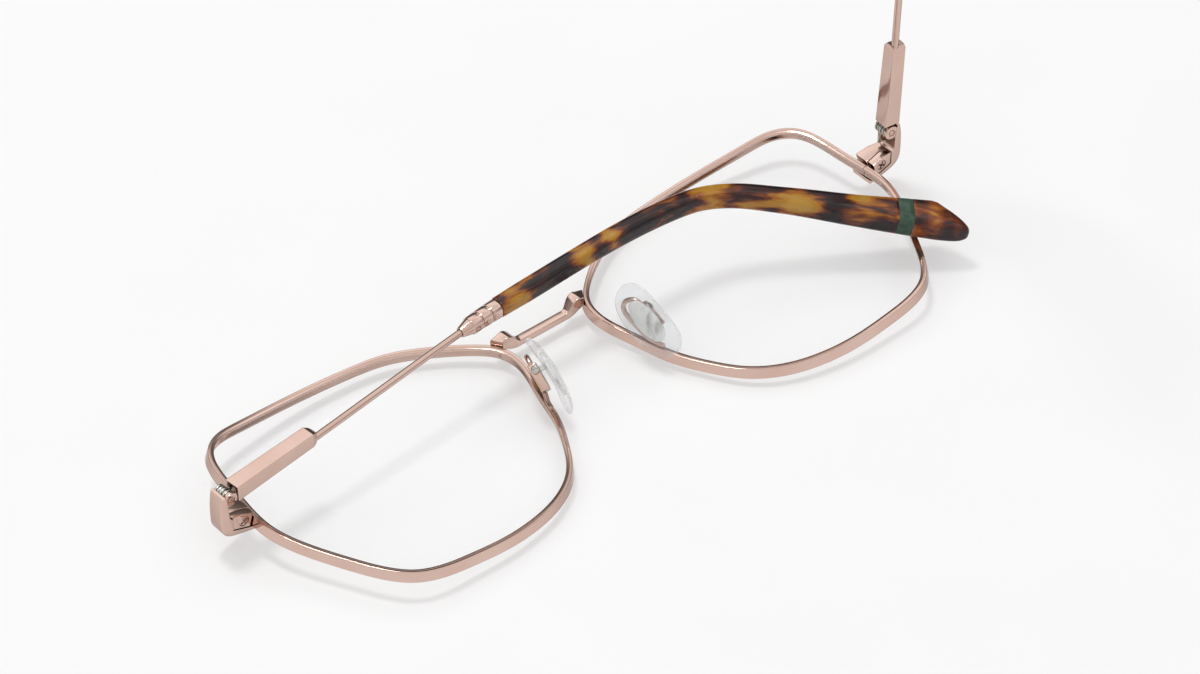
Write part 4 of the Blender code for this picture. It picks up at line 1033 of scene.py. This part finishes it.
# tall soft panels above, a darker room low down behind, brighter again on the near side
height = ramp(nt, sep.outputs["Z"], [(0.0, (0.30, 0.28, 0.275)), (0.06, (0.10, 0.092, 0.09)), (0.40, (0.14, 0.13, 0.13)),
                                     (0.56, (0.22, 0.21, 0.21)), (0.625, (0.90, 0.90, 0.90)), (0.68, (1.36, 1.36, 1.36)),
                                     (0.77, (1.36, 1.36, 1.36)), (0.87, (1.08, 1.08, 1.08)), (1.0, (0.98, 0.98, 0.98))])
toward = maths(nt, "ADD", maths(nt, "MULTIPLY", sep.outputs["X"], -0.65), maths(nt, "MULTIPLY", sep.outputs["Y"], -0.76))
front = mapped(nt, toward, -0.12, 0.42, 0.0, 1.0)
near = ramp(nt, sep.outputs["Z"], [(0.0, (0.70, 0.70, 0.70)), (0.35, (0.80, 0.80, 0.80)), (0.8, (1.00, 1.00, 1.00))])
colour = mixed(nt, front, height, near)
link(nt, colour, back.inputs["Color"])
back.inputs["Strength"].default_value = 0.93
link(nt, back.outputs[0], out.inputs["Surface"])


def softbox(name, at, size, power, target=(0, 0, 0)):
    l = bpy.data.lights.new(name, "AREA")
    l.shape = "RECTANGLE"
    l.size, l.size_y = size
    l.energy = power
    o = bpy.data.objects.new(name, l)
    o.location = at
    o.rotation_euler = (Vector(target) - Vector(at)).to_track_quat("-Z", "Y").to_euler()
    bpy.context.scene.collection.objects.link(o)
    return o


softbox("key", (-0.07, 0.40, 1.55), (0.30, 0.30), 7.5)

# ------------------------------------------------------------------ camera
FOCAL_PX, AZ, EL, ROLL, DIST, OX, OY = 5811.27, -0.70806, 0.72448, 0.00520, 918.486, 1.770, 5.840
back_v = Vector((math.sin(AZ) * math.cos(EL), -math.cos(AZ) * math.cos(EL), math.sin(EL)))
right_v = Vector((math.cos(AZ), math.sin(AZ), 0.0))
up_v = back_v.cross(right_v)
r2 = right_v * math.cos(ROLL) + up_v * math.sin(ROLL)
u2 = up_v * math.cos(ROLL) - right_v * math.sin(ROLL)
place = (r2 * OX + u2 * OY + back_v * DIST - ORIGIN) * MM
cam = bpy.data.cameras.new("camera")
cam.sensor_width = 36.0
cam.sensor_fit = "HORIZONTAL"
cam.lens = FOCAL_PX / 1200 * 36.0
cam_ob = bpy.data.objects.new("camera", cam)
cam_ob.matrix_world = Matrix(((r2.x, u2.x, back_v.x, place.x), (r2.y, u2.y, back_v.y, place.y),
                              (r2.z, u2.z, back_v.z, place.z), (0, 0, 0, 1)))
bpy.context.scene.collection.objects.link(cam_ob)
bpy.context.scene.camera = cam_ob
bpy.context.scene.view_settings.view_transform = "Standard"
